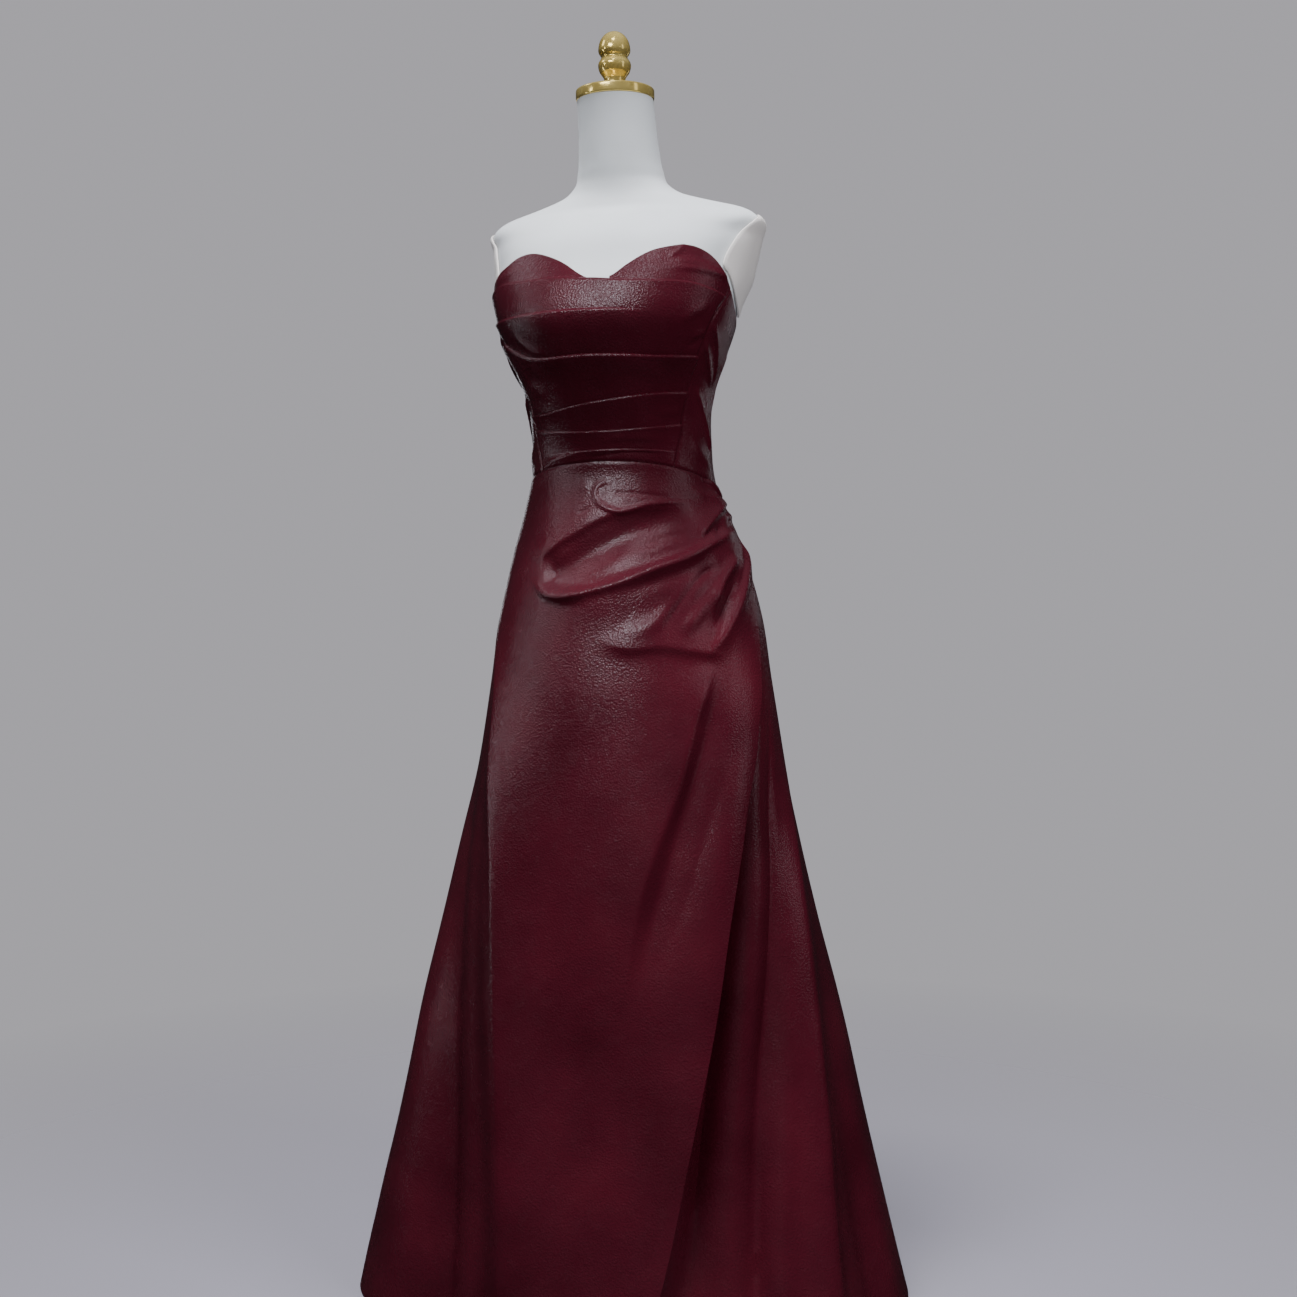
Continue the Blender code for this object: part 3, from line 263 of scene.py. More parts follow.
BODICE_CREASES = (
    (((40, 1.0835), (15, 1.086), (-10, 1.08)), -0.0016, 0.003, 0.003, 0.35, 0.35, 1.6),
    (((-10, 1.088), (-26, 1.082), (-44, 1.0765)), 0.0016, 0.004, 0.004, 0.3, 0.3, 1.8),
    (((46, 1.1), (20, 1.104), (-4, 1.101)), 0.001, 0.004, 0.004, 0.35, 0.35, 2.0),
    (((-20, 1.206), (-32, 1.214), (-39, 1.226), (-43, 1.238)), 0.0024, 0.0035, 0.0045, 0.35, 0.25, 1.6),
    (((64, 1.229), (58, 1.227), (52, 1.217)), 0.002, 0.004, 0.003, 0.15, 0.5, 1.6),
    (((64, 1.224), (57, 1.219), (48, 1.206)), -0.0016, 0.004, 0.004, 0.15, 0.5, 1.6),
    (((62, 1.262), (50, 1.25), (40, 1.232)), 0.0014, 0.007, 0.007, 0.25, 0.5, 2.0),
    (((46, 1.17), (24, 1.188), (4, 1.196)), 0.0012, 0.009, 0.009, 0.35, 0.5, 2.0),
    (((-30, 1.16), (-44, 1.17), (-54, 1.162)), 0.0018, 0.006, 0.007, 0.35, 0.35, 2.0),
    (((-34, 1.186), (-50, 1.178)), -0.0016, 0.006, 0.006, 0.35, 0.35, 2.0),
    (((55, 1.139), (44, 1.134), (32, 1.137)), 0.001, 0.004, 0.004, 0.25, 0.5, 2.0),
)
CUP_CREASES = (
    (((37, 1.337), (33, 1.326), (29, 1.317)), 0.0018, 0.003, 0.003, 0.15, 0.5, 1.5),
    (((28, 1.316), (40, 1.315), (58, 1.31)), 0.0014, 0.004, 0.004, 0.35, 0.35, 1.8),
    (((26, 1.307), (42, 1.306), (60, 1.303), (77, 1.297)), 0.0022, 0.004, 0.005, 0.35, 0.25, 1.6),
    (((-66, 1.3), (-48, 1.313), (-30, 1.319)), 0.0014, 0.006, 0.006, 0.3, 0.5, 2.0),
)
SIDE_CREASES = (
    (((66, 1.243), (74, 1.228), (82, 1.208), (89, 1.186), (92, 1.162)), 0.0034, 0.0032, 0.006, 0.2, 0.3, 1.3),
    (((64, 1.222), (70, 1.206), (79, 1.187), (89, 1.168)), 0.0034, 0.0032, 0.006, 0.2, 0.3, 1.3),
    (((66, 1.168), (73, 1.15), (80, 1.13), (87, 1.104), (92, 1.08)), 0.0036, 0.0032, 0.007, 0.2, 0.25, 1.3),
    (((60, 1.1), (75, 1.082), (92, 1.066)), 0.002, 0.01, 0.01, 0.3, 0.3, 2.0),
    (((97, 1.228), (100, 1.2), (100, 1.17), (98, 1.138)), 0.0022, 0.007, 0.008, 0.25, 0.3, 1.8),
    (((109, 1.216), (111, 1.186), (109, 1.15)), 0.0018, 0.007, 0.008, 0.3, 0.3, 1.8),
)
# Under the overlay's free edge: the deep trough, the crease before the next fold and that fold's crest
GORE_CREASES = (
    (((84, 0.85), (74, 0.77), (62, 0.671), (50, 0.54), (41, 0.428), (31, 0.257), (23.5, 0.099), (19, 0.01)),
     -0.02, 0.013, 0.008, 0.15, 0.1, 1.3),
    (((88, 0.79), (73, 0.62), (58, 0.441), (48, 0.306), (42, 0.138), (39, 0.02)),
     -0.008, 0.013, 0.005, 0.25, 0.1, 1.3),
    (((101, 0.734), (79, 0.558), (70, 0.411), (64, 0.272), (60, 0.126), (58, 0.02)),
     0.006, 0.014, 0.009, 0.3, 0.1, 1.3),
)

# Soft unevenness of hanging leather: number of waves, shortest and longest wave, height, fade at the waist
WAVE_COUNT = 22
WAVE_SHORTEST = 0.07
WAVE_LONGEST = 0.32
WAVE_HEIGHT = 0.0011
WAVE_FADE = 0.12
WAVE_SEED = 11

# Steps of the curves, and the rows and columns of points in each piece
CURVE_STEPS = 16
SETTLING_PASSES = 4
NORMAL_STEP = 0.8
FIRST_GUESS_HEIGHT = 1.150
SKIRT_ROWS_LOW = 120
SKIRT_ROWS_HIP = 170
SKIRT_ROW_BREAK = 0.750
OVERLAY_COLUMNS = 150
GORE_COLUMNS = 84
BACK_GORE_COLUMNS = 50
FRONT_COLUMNS = 96
CUP_GRID = (22, 60)
SIDE_GRID = (120, 72)
BACK_GRID = (70, 46)
EDGE_STEP = 0.004
SEAM_THINNING = 0.75
SEAM_ROLL = 0.0018
CLOTH_SHARP_ANGLE = 60.0

# Tapes inside the seams
TAPE_WIDTH = 0.010
TAPE_THICKNESS = 0.0003
TAPE_DEPTH = 0.0006
TAPE_MARGIN = 0.006
TAPE_TUCK_REACH = 0.02
TAPE_STEPS = 60
TAPE_COLUMNS = 5
WAIST_TAPE_STEPS = 240

# Dress form pieces
TORSO_COLUMNS = 144
TORSO_ROW_PITCH = 0.006
SHOULDER_ROW_PITCH = 0.0025
SHOULDER_START = 1.372
FORM_RIM = 0.004
FORM_RIM_STEP = 0.003
FORM_RIM_ROWS = 4
FORM_RIM_INSET = 0.03
FORM_SHARP_ANGLE = 50.0
TURNED_SHARP_ANGLE = 40.0
# Cover of an armhole: its middle and its outline, each point an angle and a height
PLATE_CENTRE = (89, 1.330)
PLATE_EDGE = (
    (89, 1.390), (79, 1.378), (72, 1.356), (67, 1.332), (67, 1.316), (75, 1.3045), (85, 1.283), (95, 1.2665),
    (103, 1.262), (110, 1.274), (114, 1.304), (111, 1.342), (101, 1.376),
)
PLATE_THICKNESS = 0.0030
PLATE_GAP = 0.0013
PLATE_RIM = 0.0010
PLATE_RINGS = 16
PLATE_SIDES = 104
CAP_RADIUS = 0.0505
CAP_THICKNESS = 0.013
CAP_ROUNDING = 0.0025
POLE_RADIUS = 0.014
POLE_ROUNDING = 0.001
STAND_NECK = 0.006
COLLAR_RADIUS = 0.034
COLLAR_HEIGHT = 0.028
COLLAR_RIM = 0.008
COLLAR_ROUNDING = 0.002
BASE_RADIUS = 0.160
BASE_THICKNESS = 0.010
BASE_ROUNDING = 0.004
HUB_RADIUS = 0.030
HUB_HEIGHT = 0.030
HUB_RIM = 0.006
HUB_ROUNDING = 0.003
ROUND_SIDES = 96
ROUNDING_STEPS = 5
ROUNDING_LIMIT = 0.45
CONTACT_GAP = 0.0003
FINIAL_THINNING = 3
FINIAL_PROFILE = (
    (0.0, 0.0740), (0.0070, 0.0728), (0.0130, 0.0690), (0.0176, 0.0630), (0.0200, 0.0560),
    (0.0206, 0.0490), (0.0190, 0.0450), (0.0168, 0.0415), (0.0182, 0.0380), (0.0206, 0.0340),
    (0.0210, 0.0290), (0.0192, 0.0225), (0.0160, 0.0180), (0.0138, 0.0140), (0.0135, 0.0080),
    (0.0165, 0.0040), (0.0175, 0.0000), (0.0, 0.0),
)

# Colours, linear
LEATHER_DARK = (0.043, 0.0032, 0.0078, 1.0)
LEATHER_MIDDLE = (0.059, 0.0048, 0.0112, 1.0)
LEATHER_LIGHT = (0.079, 0.0067, 0.0142, 1.0)
JERSEY_COLOUR = (0.74, 0.77, 0.76, 1.0)
JERSEY_SHADE = (0.66, 0.68, 0.68, 1.0)
PLATE_COLOUR = (0.74, 0.70, 0.65, 1.0)
PLATE_SHADE = (0.68, 0.64, 0.60, 1.0)
GOLD_COLOUR = (0.92, 0.72, 0.24, 1.0)
GOLD_SHADE = (0.70, 0.51, 0.13, 1.0)
STEEL_COLOUR = (0.50, 0.50, 0.52, 1.0)
STEEL_SHADE = (0.40, 0.40, 0.42, 1.0)
FLOOR_COLOUR = (0.345, 0.330, 0.370, 1.0)
BACKDROP_COLOUR = (0.43, 0.42, 0.45, 1.0)
BACKDROP_RADIUS = 12.0
FLOOR_FULL = 0.5
FLOOR_END = 1.9
FLOOR_LEVEL = -0.0005
NOISE_RANGE = (0.3, 0.7)
LEATHER_ROUGHNESS = (0.20, 0.30)
JERSEY_ROUGHNESS = (0.75, 0.9)
SMEARED_ROUGHNESS = 1.8
# Metals: least roughness, scale of the smears, metallic share
GOLD_GLOSS = (0.13, 40.0, 0.72)
STEEL_GLOSS = (0.28, 60.0, 1.0)
WORLD_STOPS = (
    (0.00, (0.008, 0.008, 0.009, 1.0)),
    (0.45, (0.016, 0.016, 0.018, 1.0)),
    (0.74, (0.035, 0.035, 0.038, 1.0)),
    (1.00, (0.220, 0.225, 0.240, 1.0)),
)

# Lamps: place, what they face, width and height, power in watts, and whether they show in all of a
# surface's light or only in its gloss or its matt part
LIGHT_COLOUR = (0.92, 0.93, 1.0)
LIGHTS = (
    ("ceiling", (-0.46, -2.1, 2.55), (0, 0, 1.1), (1, 0.42), 21, "all"),
    ("left_wall", (-1.6, -1.1, 1.75), (0, 0, 1), (0.14, 0.5), 2.6, "gloss"),
    ("left_high", (-1.62, -0.37, 2.63), (0, 0, 0.92), (0.5, 0.6), 3.5, "gloss"),
    ("high_gleam", (0.14, -1.15, 3.05), (0, -0.1, 1.3), (0.4, 0.3), 4.6, "gloss"),
    ("left_low", (-2, -0.52, 0.95), (0, 0, 0.6), (0.1, 0.9), 2.6, "gloss"),
    ("right_wall", (1.85, -0.35, 1.75), (0, 0, 0.85), (0.3, 1.4), 2.2, "gloss"),
    ("top_soft", (-0.1, -1, 4.6), (0, 0, 1), (1.5, 1), 250, "matt"),
    ("right_soft", (2.2, -1.2, 2.4), (0, 0, 1.1), (1, 1), 46, "matt"),
    ("front_fill", (0.6, -3, 1.4), (0, 0, 0.7), (2, 2), 16, "matt"),
    ("left_rim", (-1, 1.35, 1.25), (0, 0, 1.15), (0.1, 0.7), 0.7, "all"),
    ("right_rim", (0.72, 1.6, 1.3), (0, 0, 1.2), (0.1, 0.6), 0.4, "all"),
)


# Curves and lines

def smooth_curve(knots):
    """Dense points of a smooth curve through (position, value) knots, for np.interp."""
    places, values = np.array(knots, float).T
    slopes = np.gradient(values, places)
    span = np.diff(places)
    part = np.linspace(0.0, 1.0, CURVE_STEPS + 1)[:-1, None]
    from_value = (2 * part**3 - 3 * part**2 + 1) * values[:-1]
    to_value = (3 * part**2 - 2 * part**3) * values[1:]
    from_slope = (part**3 - 2 * part**2 + part) * slopes[:-1] * span
    to_slope = (part**3 - part**2) * slopes[1:] * span
    dense_places = (places[:-1] + part * span).T
    dense_values = (from_value + to_value + from_slope + to_slope).T
    return np.append(dense_places, places[-1]), np.append(dense_values, values[-1])


def line_through(knots):
    """The smooth curve through knots, as a function of its first coordinate."""
    curve = smooth_curve(knots)
    return lambda place: np.interp(place, *curve)


def section_lines(sections):
    """One line of height for each other column of a table of sections."""
    lines = {}
    for index, name in enumerate(SECTION_COLUMNS[1:], start=1):
        lines[name] = line_through([(row[0], row[index]) for row in sections])
    return lines


def fitted_sections():
    """The form's sections: its own low and high ones, and the gown's between, a clearance inside."""
    inset = FORM_CLEARANCE * np.array([name in ("half_width", "front", "back") for name in SECTION_COLUMNS])
    low_end = FORM_LOW_SECTIONS[-1][0]
    high_start = FORM_HIGH_SECTIONS[0][0]
    fitted = [tuple(row - inset) for row in GOWN_SECTIONS if low_end < row[0] < high_start]
    return FORM_LOW_SECTIONS + tuple(fitted) + FORM_HIGH_SECTIONS


GOWN = section_lines(GOWN_SECTIONS)
FORM = section_lines(fitted_sections())
neckline = line_through(NECKLINE)
waist_seam = line_through(WAIST_SEAM)
top_tuck_edge = line_through(TOP_TUCK_EDGE)
princess_seam = line_through(PRINCESS_SEAM)
overlay_edge = line_through(OVERLAY_EDGE)


def smooth_step(value):
    part = np.clip(value, 0.0, 1.0)
    return part * part * (3.0 - 2.0 * part)


def spread(first, last, count):
    return np.linspace(first, last, count)


def round_turn(sides):
    return spread(0.0, 2.0 * math.pi, sides + 1)[:-1]


def spread_to_edges(count):
    """Fractions of a piece's width, with close steps beside its two sides."""
    inner = spread(5.0 * EDGE_STEP, 1.0 - 5.0 * EDGE_STEP, count)
    low = np.array([0.0, EDGE_STEP, 2.5 * EDGE_STEP])
    return np.concatenate([low, inner, 1.0 - low[::-1]])


# Surfaces

def section_point(lines, angle, height):
    """Point of a section at an angle, a rounded rectangle with unlike front and back depths."""
    at = {name: line(height) for name, line in lines.items()}
    across = np.sin(np.radians(angle))
    along = np.cos(np.radians(angle))
    power = 2.0 / at["squareness"]
    depth = np.where(along > 0.0, at["front"], at["back"])
    x = at["shift"] + at["half_width"] * np.sign(across) * np.abs(across) ** power
    y = at["centre"] - depth * np.sign(along) * np.abs(along) ** power
    return np.stack([x, y, height + 0.0 * x], axis=-1)


def outward(lines, angle, height):
    """Level unit vector that points out of a section."""
    after = section_point(lines, angle + NORMAL_STEP, height)
    run = after - section_point(lines, angle - NORMAL_STEP, height)
    normal = np.stack([run[..., 1], -run[..., 0], 0.0 * run[..., 0]], axis=-1)
    return normal / np.linalg.norm(normal, axis=-1, keepdims=True)


def arc_per_degree(height):
    """Length of a degree round the gown's front, from its half width and its depth there."""
    return math.radians(1.0) * 0.5 * (GOWN["half_width"](height) + GOWN["front"](height))


def swept_angle(height, top_height, top_angle, hem_angle, sweep):
    """Angle of a line that leaves the hip at one angle and meets the hem at another."""
    part = np.clip(height / top_height, 0.0, 1.0)
    return hem_angle + (top_angle - hem_angle) * part ** sweep


def ridge_seam(height):
    return swept_angle(height, RIDGE_SEAM_TOP, RIDGE_SEAM_TOP_ANGLE, RIDGE_SEAM_HEM_ANGLE, RIDGE_SEAM_SWEEP)


def one_sided_bump(distance, width_low, width_high):
    """A rounded ridge whose two sides have their own widths."""
    width = np.where(distance < 0.0, width_low, width_high)
    return np.exp(-((distance / width) ** 2))


def angle_between(angle, other=0.0):
    """Difference of two angles, between -180 and 180 degrees."""
    return (angle - other + 180.0) % 360.0 - 180.0


def long_fold_rise(angle, height):
    """Height of the skirt's long folds above the smooth gown."""
    total = np.zeros(np.broadcast(angle, height).shape)
    for top_height, top_angle, hem_angle, sweep, rise, width_right, width_left in LONG_FOLDS:
        line = swept_angle(height, top_height, top_angle, hem_angle, sweep)
        distance = angle_between(angle, line) * arc_per_degree(height)
        growth = smooth_step(1.0 - height / top_height) ** FOLD_GROWTH_POWER
        total = total + rise * growth * one_sided_bump(distance, width_right, width_left)
    return total


def crease_curve(knots):
    """Points of a smooth curve through a fold's knots in the unrolled cloth, across and up."""
    angle, up = np.array(knots, float).T
    across = CREASE_RADIUS * np.radians(angle)
    along = np.append(0.0, np.cumsum(np.hypot(np.diff(across), np.diff(up))))
    place = spread(0.0, along[-1], CREASE_STEPS + 1)
    return np.stack([line_through(list(zip(along, values)))(place) for values in (across, up)], axis=-1)


def nearest_on_line(places, points):
    """Distance of each place from a line, how far along the line it is, as a share, and on which side."""
    steps = np.diff(points, axis=0)
    off = places[..., None, :] - points[:-1]
    part = np.clip((off * steps).sum(axis=-1) / (steps**2).sum(axis=-1), 0.0, 1.0)
    off = off - part[..., None] * steps
    distance = np.hypot(off[..., 0], off[..., 1])
    along = (np.arange(len(steps)) + part) / len(steps)
    side = np.sign(steps[:, 0] * off[..., 1] - steps[:, 1] * off[..., 0])
    pick = distance.argmin(axis=-1)[..., None]
    return [np.take_along_axis(values, pick, axis=-1)[..., 0] for values in (distance, along, side)]


def crease_rise(angle, height, folds):
    """Height of the folds of a table above the smooth cloth."""
    across = CREASE_RADIUS * np.radians(angle) + 0.0 * height
    places = np.stack([across, height + 0.0 * across], axis=-1)
    total = np.zeros(across.shape)
    for knots, rise, width_above, width_below, fade_in, fade_out, roundness in folds:
        distance, along, side = nearest_on_line(places, crease_curve(knots))
        width = np.where(side > 0.0, width_below, width_above)
        taper = smooth_step(along / fade_in) * smooth_step((1.0 - along) / fade_out)
        total = total + rise * taper * np.exp(-((distance / width) ** roundness))
    return total


def gown_point(angle, height, rise):
    """Point of the gown's inside, moved out by its folds."""
    return section_point(GOWN, angle, height) + outward(GOWN, angle, height) * rise[..., None]


def skirt_waves(angle, height):
    """Soft unevenness, a sum of seeded plane waves that the overlay and the gores share."""
    points = section_point(GOWN, angle, height)
    draw = np.random.default_rng(WAVE_SEED)
    total = np.zeros(points.shape[:-1])
    for _ in range(WAVE_COUNT):
        wave = draw.uniform(WAVE_SHORTEST, WAVE_LONGEST)
        direction = draw.normal(size=3)
        direction /= np.linalg.norm(direction)
        phase = draw.uniform(0.0, 2.0 * math.pi)
        total = total + wave / WAVE_LONGEST * np.sin(points @ direction * (2.0 * math.pi / wave) + phase)
    below_waist = smooth_step((waist_seam(0.0) - height) / WAVE_FADE)
    return below_waist * WAVE_HEIGHT * total / math.sqrt(WAVE_COUNT / 2.0)


def gore_rise(angle, height):
    return long_fold_rise(angle, height) + skirt_waves(angle, height)


def under_gore_rise(angle, height):
    return gore_rise(angle, height) + crease_rise(angle, height, GORE_CREASES)


def overlay_rise(angle, height):
    """Folds of the overlay: it lifts off the gore that it laps and stands up along its free edge."""
    from_edge = angle - overlay_edge(height)
    lapped = smooth_step(1.0 + (from_edge + OVERLAY_LAP_ANGLE) / OVERLAY_RAMP_ANGLE)
    free = smooth_step((OVERLAY_TOP - height) / OVERLAY_FREE_RUN)
    distance = from_edge * arc_per_degree(height)
    stand = OVERLAY_EDGE_RISE * free * np.exp(-((distance / OVERLAY_EDGE_WIDTH) ** 2))
    shared = np.maximum(long_fold_rise(angle, height), OVERLAY_DEEPEST * (1.0 - lapped))
    drape = crease_rise(angle, height, HIP_FOLDS)
    drape = drape * (1.0 - lapped) + np.maximum(drape, 0.0) * lapped
    return shared + OVERLAY_LIFT * lapped + stand + drape + skirt_waves(angle, height)


def form_point(angle, height):
    """Point of the form, with its armholes turned a little forward."""
    level = smooth_step((height - ARM_LOW) / ARM_FADE) * smooth_step((ARM_HIGH - height) / ARM_FADE)
    around = np.abs(angle_between(angle))
    chest = one_sided_bump(around - CHEST_ANGLE, ARM_SPREAD, ARM_SPREAD)
    blade = one_sided_bump(around - BLADE_ANGLE, ARM_SPREAD, ARM_SPREAD)
    rise = level * (BLADE_RISE * blade - CHEST_HOLLOW * chest)
    return section_point(FORM, angle, height) + outward(FORM, angle, height) * rise[..., None]


# Meshes

def add_mesh(name, points, faces, material, smooth=True):
    """A new object in the scene."""
    mesh = bpy.data.meshes.new(name)
    mesh.from_pydata(points.reshape(-1, 3).tolist(), [], faces)
    mesh.materials.append(material)
    if smooth:
        mesh.shade_smooth()
    thing = bpy.data.objects.new(name, mesh)
    bpy.context.scene.collection.objects.link(thing)
    return thing


def stand_for_node(piece, node, sharp_angle):
    """A piece of the part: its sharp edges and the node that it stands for."""
    piece.data.set_sharp_from_angle(angle=math.radians(sharp_angle))
    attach(piece, "root")
    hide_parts(node)
    return piece


def grid_faces(rows, columns, first=0):
    """Quads of a grid of points, rows by columns, whose numbers start at first."""
    corner = first + np.arange((rows - 1) * columns).reshape(rows - 1, columns)[:, :-1].ravel()
    return np.stack([corner, corner + 1, corner + columns + 1, corner + columns], axis=-1)


def grid_rim(rows, columns):
    """Numbers of the points round a grid's edge, in order."""
    numbers = np.arange(rows * columns).reshape(rows, columns)
    return np.concatenate([numbers[0, :-1], numbers[:-1, -1], numbers[-1, :0:-1], numbers[:0:-1, 0]])


def add_shell(name, points, thickness, material):
    """A sheet: a grid of points on its inside, its outside and its cut edges."""
    rows, columns = points.shape[:2]
    count = rows * columns
    normal = np.cross(np.gradient(points, axis=1), np.gradient(points, axis=0))
    normal /= np.linalg.norm(normal, axis=-1, keepdims=True)
    rim = grid_rim(rows, columns)
    after = np.roll(rim, -1)
    faces = np.concatenate([
        grid_faces(rows, columns)[:, ::-1], grid_faces(rows, columns, count),
        np.stack([rim, after, after + count, rim + count], axis=-1),
    ])
    return add_mesh(name, np.stack([points, points + normal * thickness]), faces.tolist(), material)


def seam_thickness(points, sewn):
    """Cloth thickness at each point: it thins towards the sewn edges named, so a seam shows as a groove."""
    thickness = np.full(points.shape[:2], CLOTH)
    across = np.cumsum(np.linalg.norm(np.diff(points, axis=1, prepend=points[:, :1]), axis=2), axis=1)
    upward = np.cumsum(np.linalg.norm(np.diff(points, axis=0, prepend=points[:1]), axis=2), axis=0)
    distances = {
        "low": across, "high": across[:, -1:] - across,
        "bottom": upward, "top": upward[-1:] - upward,
    }
    for edge in sewn:
        thickness = thickness * (1.0 - SEAM_THINNING * np.exp(-((distances[edge] / SEAM_ROLL) ** 2)))
    return thickness[..., None]


def add_cloth(name, points, material, sewn=()):
    """A sewn piece of the gown."""
    piece = add_shell(name, points, seam_thickness(points, sewn), material)
    return stand_for_node(piece, name, CLOTH_SHARP_ANGLE)


def add_loft(name, rings, material):
    """Closed solid through rings of equal count, low to high."""
    levels, count = rings.shape[:2]
    numbers = np.arange(levels * count).reshape(levels, count)
    low = numbers[:-1]
    high = numbers[1:]
    quads = np.stack([low, np.roll(low, -1, axis=1), np.roll(high, -1, axis=1), high], axis=-1)
    faces = quads.reshape(-1, 4).tolist() + [numbers[0, ::-1].tolist(), numbers[-1].tolist()]
    return add_mesh(name, rings, faces, material)


def rounded_profile(corners, radius):
    """Profile whose corners are rounded, but for its ends."""
    corners = [np.array(corner, float) for corner in corners]
    points = [corners[0]]
    for before, corner, after in zip(corners, corners[1:], corners[2:]):
        back = np.linalg.norm(before - corner)
        ahead = np.linalg.norm(after - corner)
        reach = min(radius, ROUNDING_LIMIT * back, ROUNDING_LIMIT * ahead)
        start = corner + (before - corner) / back * reach
        end = corner + (after - corner) / ahead * reach
        for part in spread(0.0, 1.0, ROUNDING_STEPS):
            points.append((1 - part) ** 2 * start + 2 * part * (1 - part) * corner + part**2 * end)
    return np.array(points + corners[-1:])


def cylinder_profile(radius, foot, top, rounding):
    return rounded_profile([(0.0, top), (radius, top), (radius, foot), (0.0, foot)], rounding)


def add_turned(name, profile, material, place=(0.0, 0.0, 0.0), tilt=0.0):
    """Solid of revolution about its own Z, from (radius, height) points that run top to bottom."""
    turn = round_turn(ROUND_SIDES)
    ring = np.stack([np.cos(turn), np.sin(turn)], axis=-1)
    inner = profile[-2:0:-1]
    level = np.broadcast_to(inner[:, None, 1:], (len(inner), ROUND_SIDES, 1))
    points = np.concatenate([inner[:, None, :1] * ring[None], level], axis=-1)
    turned = add_loft(name, points, material)
    turned.data.transform(Matrix.Translation(place) @ Matrix.Rotation(tilt, 4, "X"))
    return stand_for_node(turned, name, TURNED_SHARP_ANGLE)


# Materials

def new_material(name):
    """A new material, its node tree, its main shader and the place of a point on the object."""
    material = bpy.data.materials.new(name)
    material.use_nodes = True
    tree = material.node_tree
    place = tree.nodes.new("ShaderNodeTexCoord").outputs["Object"]
    return material, tree, tree.nodes["Principled BSDF"], place


def add_node(tree, kind, values, wires):
    """A node with the values of its inputs, and the sockets that are wired into them."""
    node = tree.nodes.new("ShaderNode" + kind)
    for name, value in values.items():
        node.inputs[name].default_value = value
    for name, source in wires.items():
        tree.links.new(source, node.inputs[name])
    return node


def add_noise(tree, place, scale, detail, roughness=0.5):
    values = {"Scale": scale, "Detail": detail, "Roughness": roughness}
    return add_node(tree, "TexNoise", values, {"Vector": place}).outputs["Fac"]


def add_ramp(tree, value, stops):
    ramp = add_node(tree, "ValToRGB", {}, {"Fac": value})
    elements = ramp.color_ramp.elements
    while len(elements) < len(stops):
        elements.new(0.5)
    for element, (position, colour) in zip(elements, stops):
        element.position = position
        element.color = colour
    return ramp.outputs["Color"]


def add_range(tree, value, low, high, to_low, to_high):
    """Maps a value from one range to another, clamped."""
    values = {"From Min": low, "From Max": high, "To Min": to_low, "To Max": to_high}
    return add_node(tree, "MapRange", values, {"Value": value}).outputs["Result"]


def add_bump(tree, height, strength, distance, before=None):
    wires = {"Height": height}
    if before is not None:
        wires["Normal"] = before
    return add_node(tree, "Bump", {"Strength": strength, "Distance": distance}, wires).outputs["Normal"]


def leather_material():
    """Semi-gloss burgundy leather with a fine pebbled grain and soft crumpling."""
    material, tree, shader, place = new_material("burgundy_leather_fine")
    patches = add_noise(tree, place, scale=7.0, detail=3.0)
    stops = ((0.30, LEATHER_DARK), (0.52, LEATHER_MIDDLE), (0.74, LEATHER_LIGHT))
    tree.links.new(add_ramp(tree, patches, stops), shader.inputs["Base Color"])
    crumple = add_noise(tree, place, scale=60.0, detail=4.0, roughness=0.55)
    grain = add_node(tree, "TexVoronoi", {"Scale": 430.0}, {"Vector": place}).outputs["Distance"]
    pores = add_noise(tree, place, scale=900.0, detail=2.0)
    gloss = add_range(tree, crumple, *NOISE_RANGE, *LEATHER_ROUGHNESS)
    tree.links.new(gloss, shader.inputs["Roughness"])
    bump = add_bump(tree, crumple, strength=0.17, distance=0.0010)
    bump = add_bump(tree, grain, strength=1.0, distance=0.00036, before=bump)
    bump = add_bump(tree, pores, strength=0.25, distance=0.0003, before=bump)
    tree.links.new(bump, shader.inputs["Normal"])
    shader.inputs["IOR"].default_value = 1.48
    shader.inputs["Coat Weight"].default_value = 0.12
    shader.inputs["Coat Roughness"].default_value = 0.25
    shader.inputs["Coat IOR"].default_value = 1.45
    return material


def jersey_material(name, light, shade):
    """Matt stretch jersey with a fine level knit."""
    material, tree, shader, place = new_material(name)
    tone = add_noise(tree, place, scale=5.0, detail=3.0)
    tree.links.new(add_ramp(tree, tone, ((0.35, shade), (0.65, light))), shader.inputs["Base Color"])
    knit = add_node(tree, "TexWave", {"Scale": 260.0, "Distortion": 1.5}, {"Vector": place})
    knit.bands_direction = "Z"
    bump = add_bump(tree, knit.outputs["Fac"], strength=0.15, distance=0.0003)
    tree.links.new(bump, shader.inputs["Normal"])
    tree.links.new(add_range(tree, tone, *NOISE_RANGE, *JERSEY_ROUGHNESS), shader.inputs["Roughness"])
    shader.inputs["Sheen Weight"].default_value = 0.15
    shader.inputs["Sheen Roughness"].default_value = 0.5
    return material


def metal_material(name, colour, darker, roughness, smear_scale, metallic):
    """Polished metal with slight smears in its gloss."""
    material, tree, shader, place = new_material(name)
    smears = add_noise(tree, place, smear_scale, detail=4.0)
    tree.links.new(add_ramp(tree, smears, ((0.3, darker), (0.7, colour))), shader.inputs["Base Color"])
    gloss = add_range(tree, smears, *NOISE_RANGE, roughness, roughness * SMEARED_ROUGHNESS)
    tree.links.new(gloss, shader.inputs["Roughness"])
    shader.inputs["Metallic"].default_value = metallic
    return material


# Gown

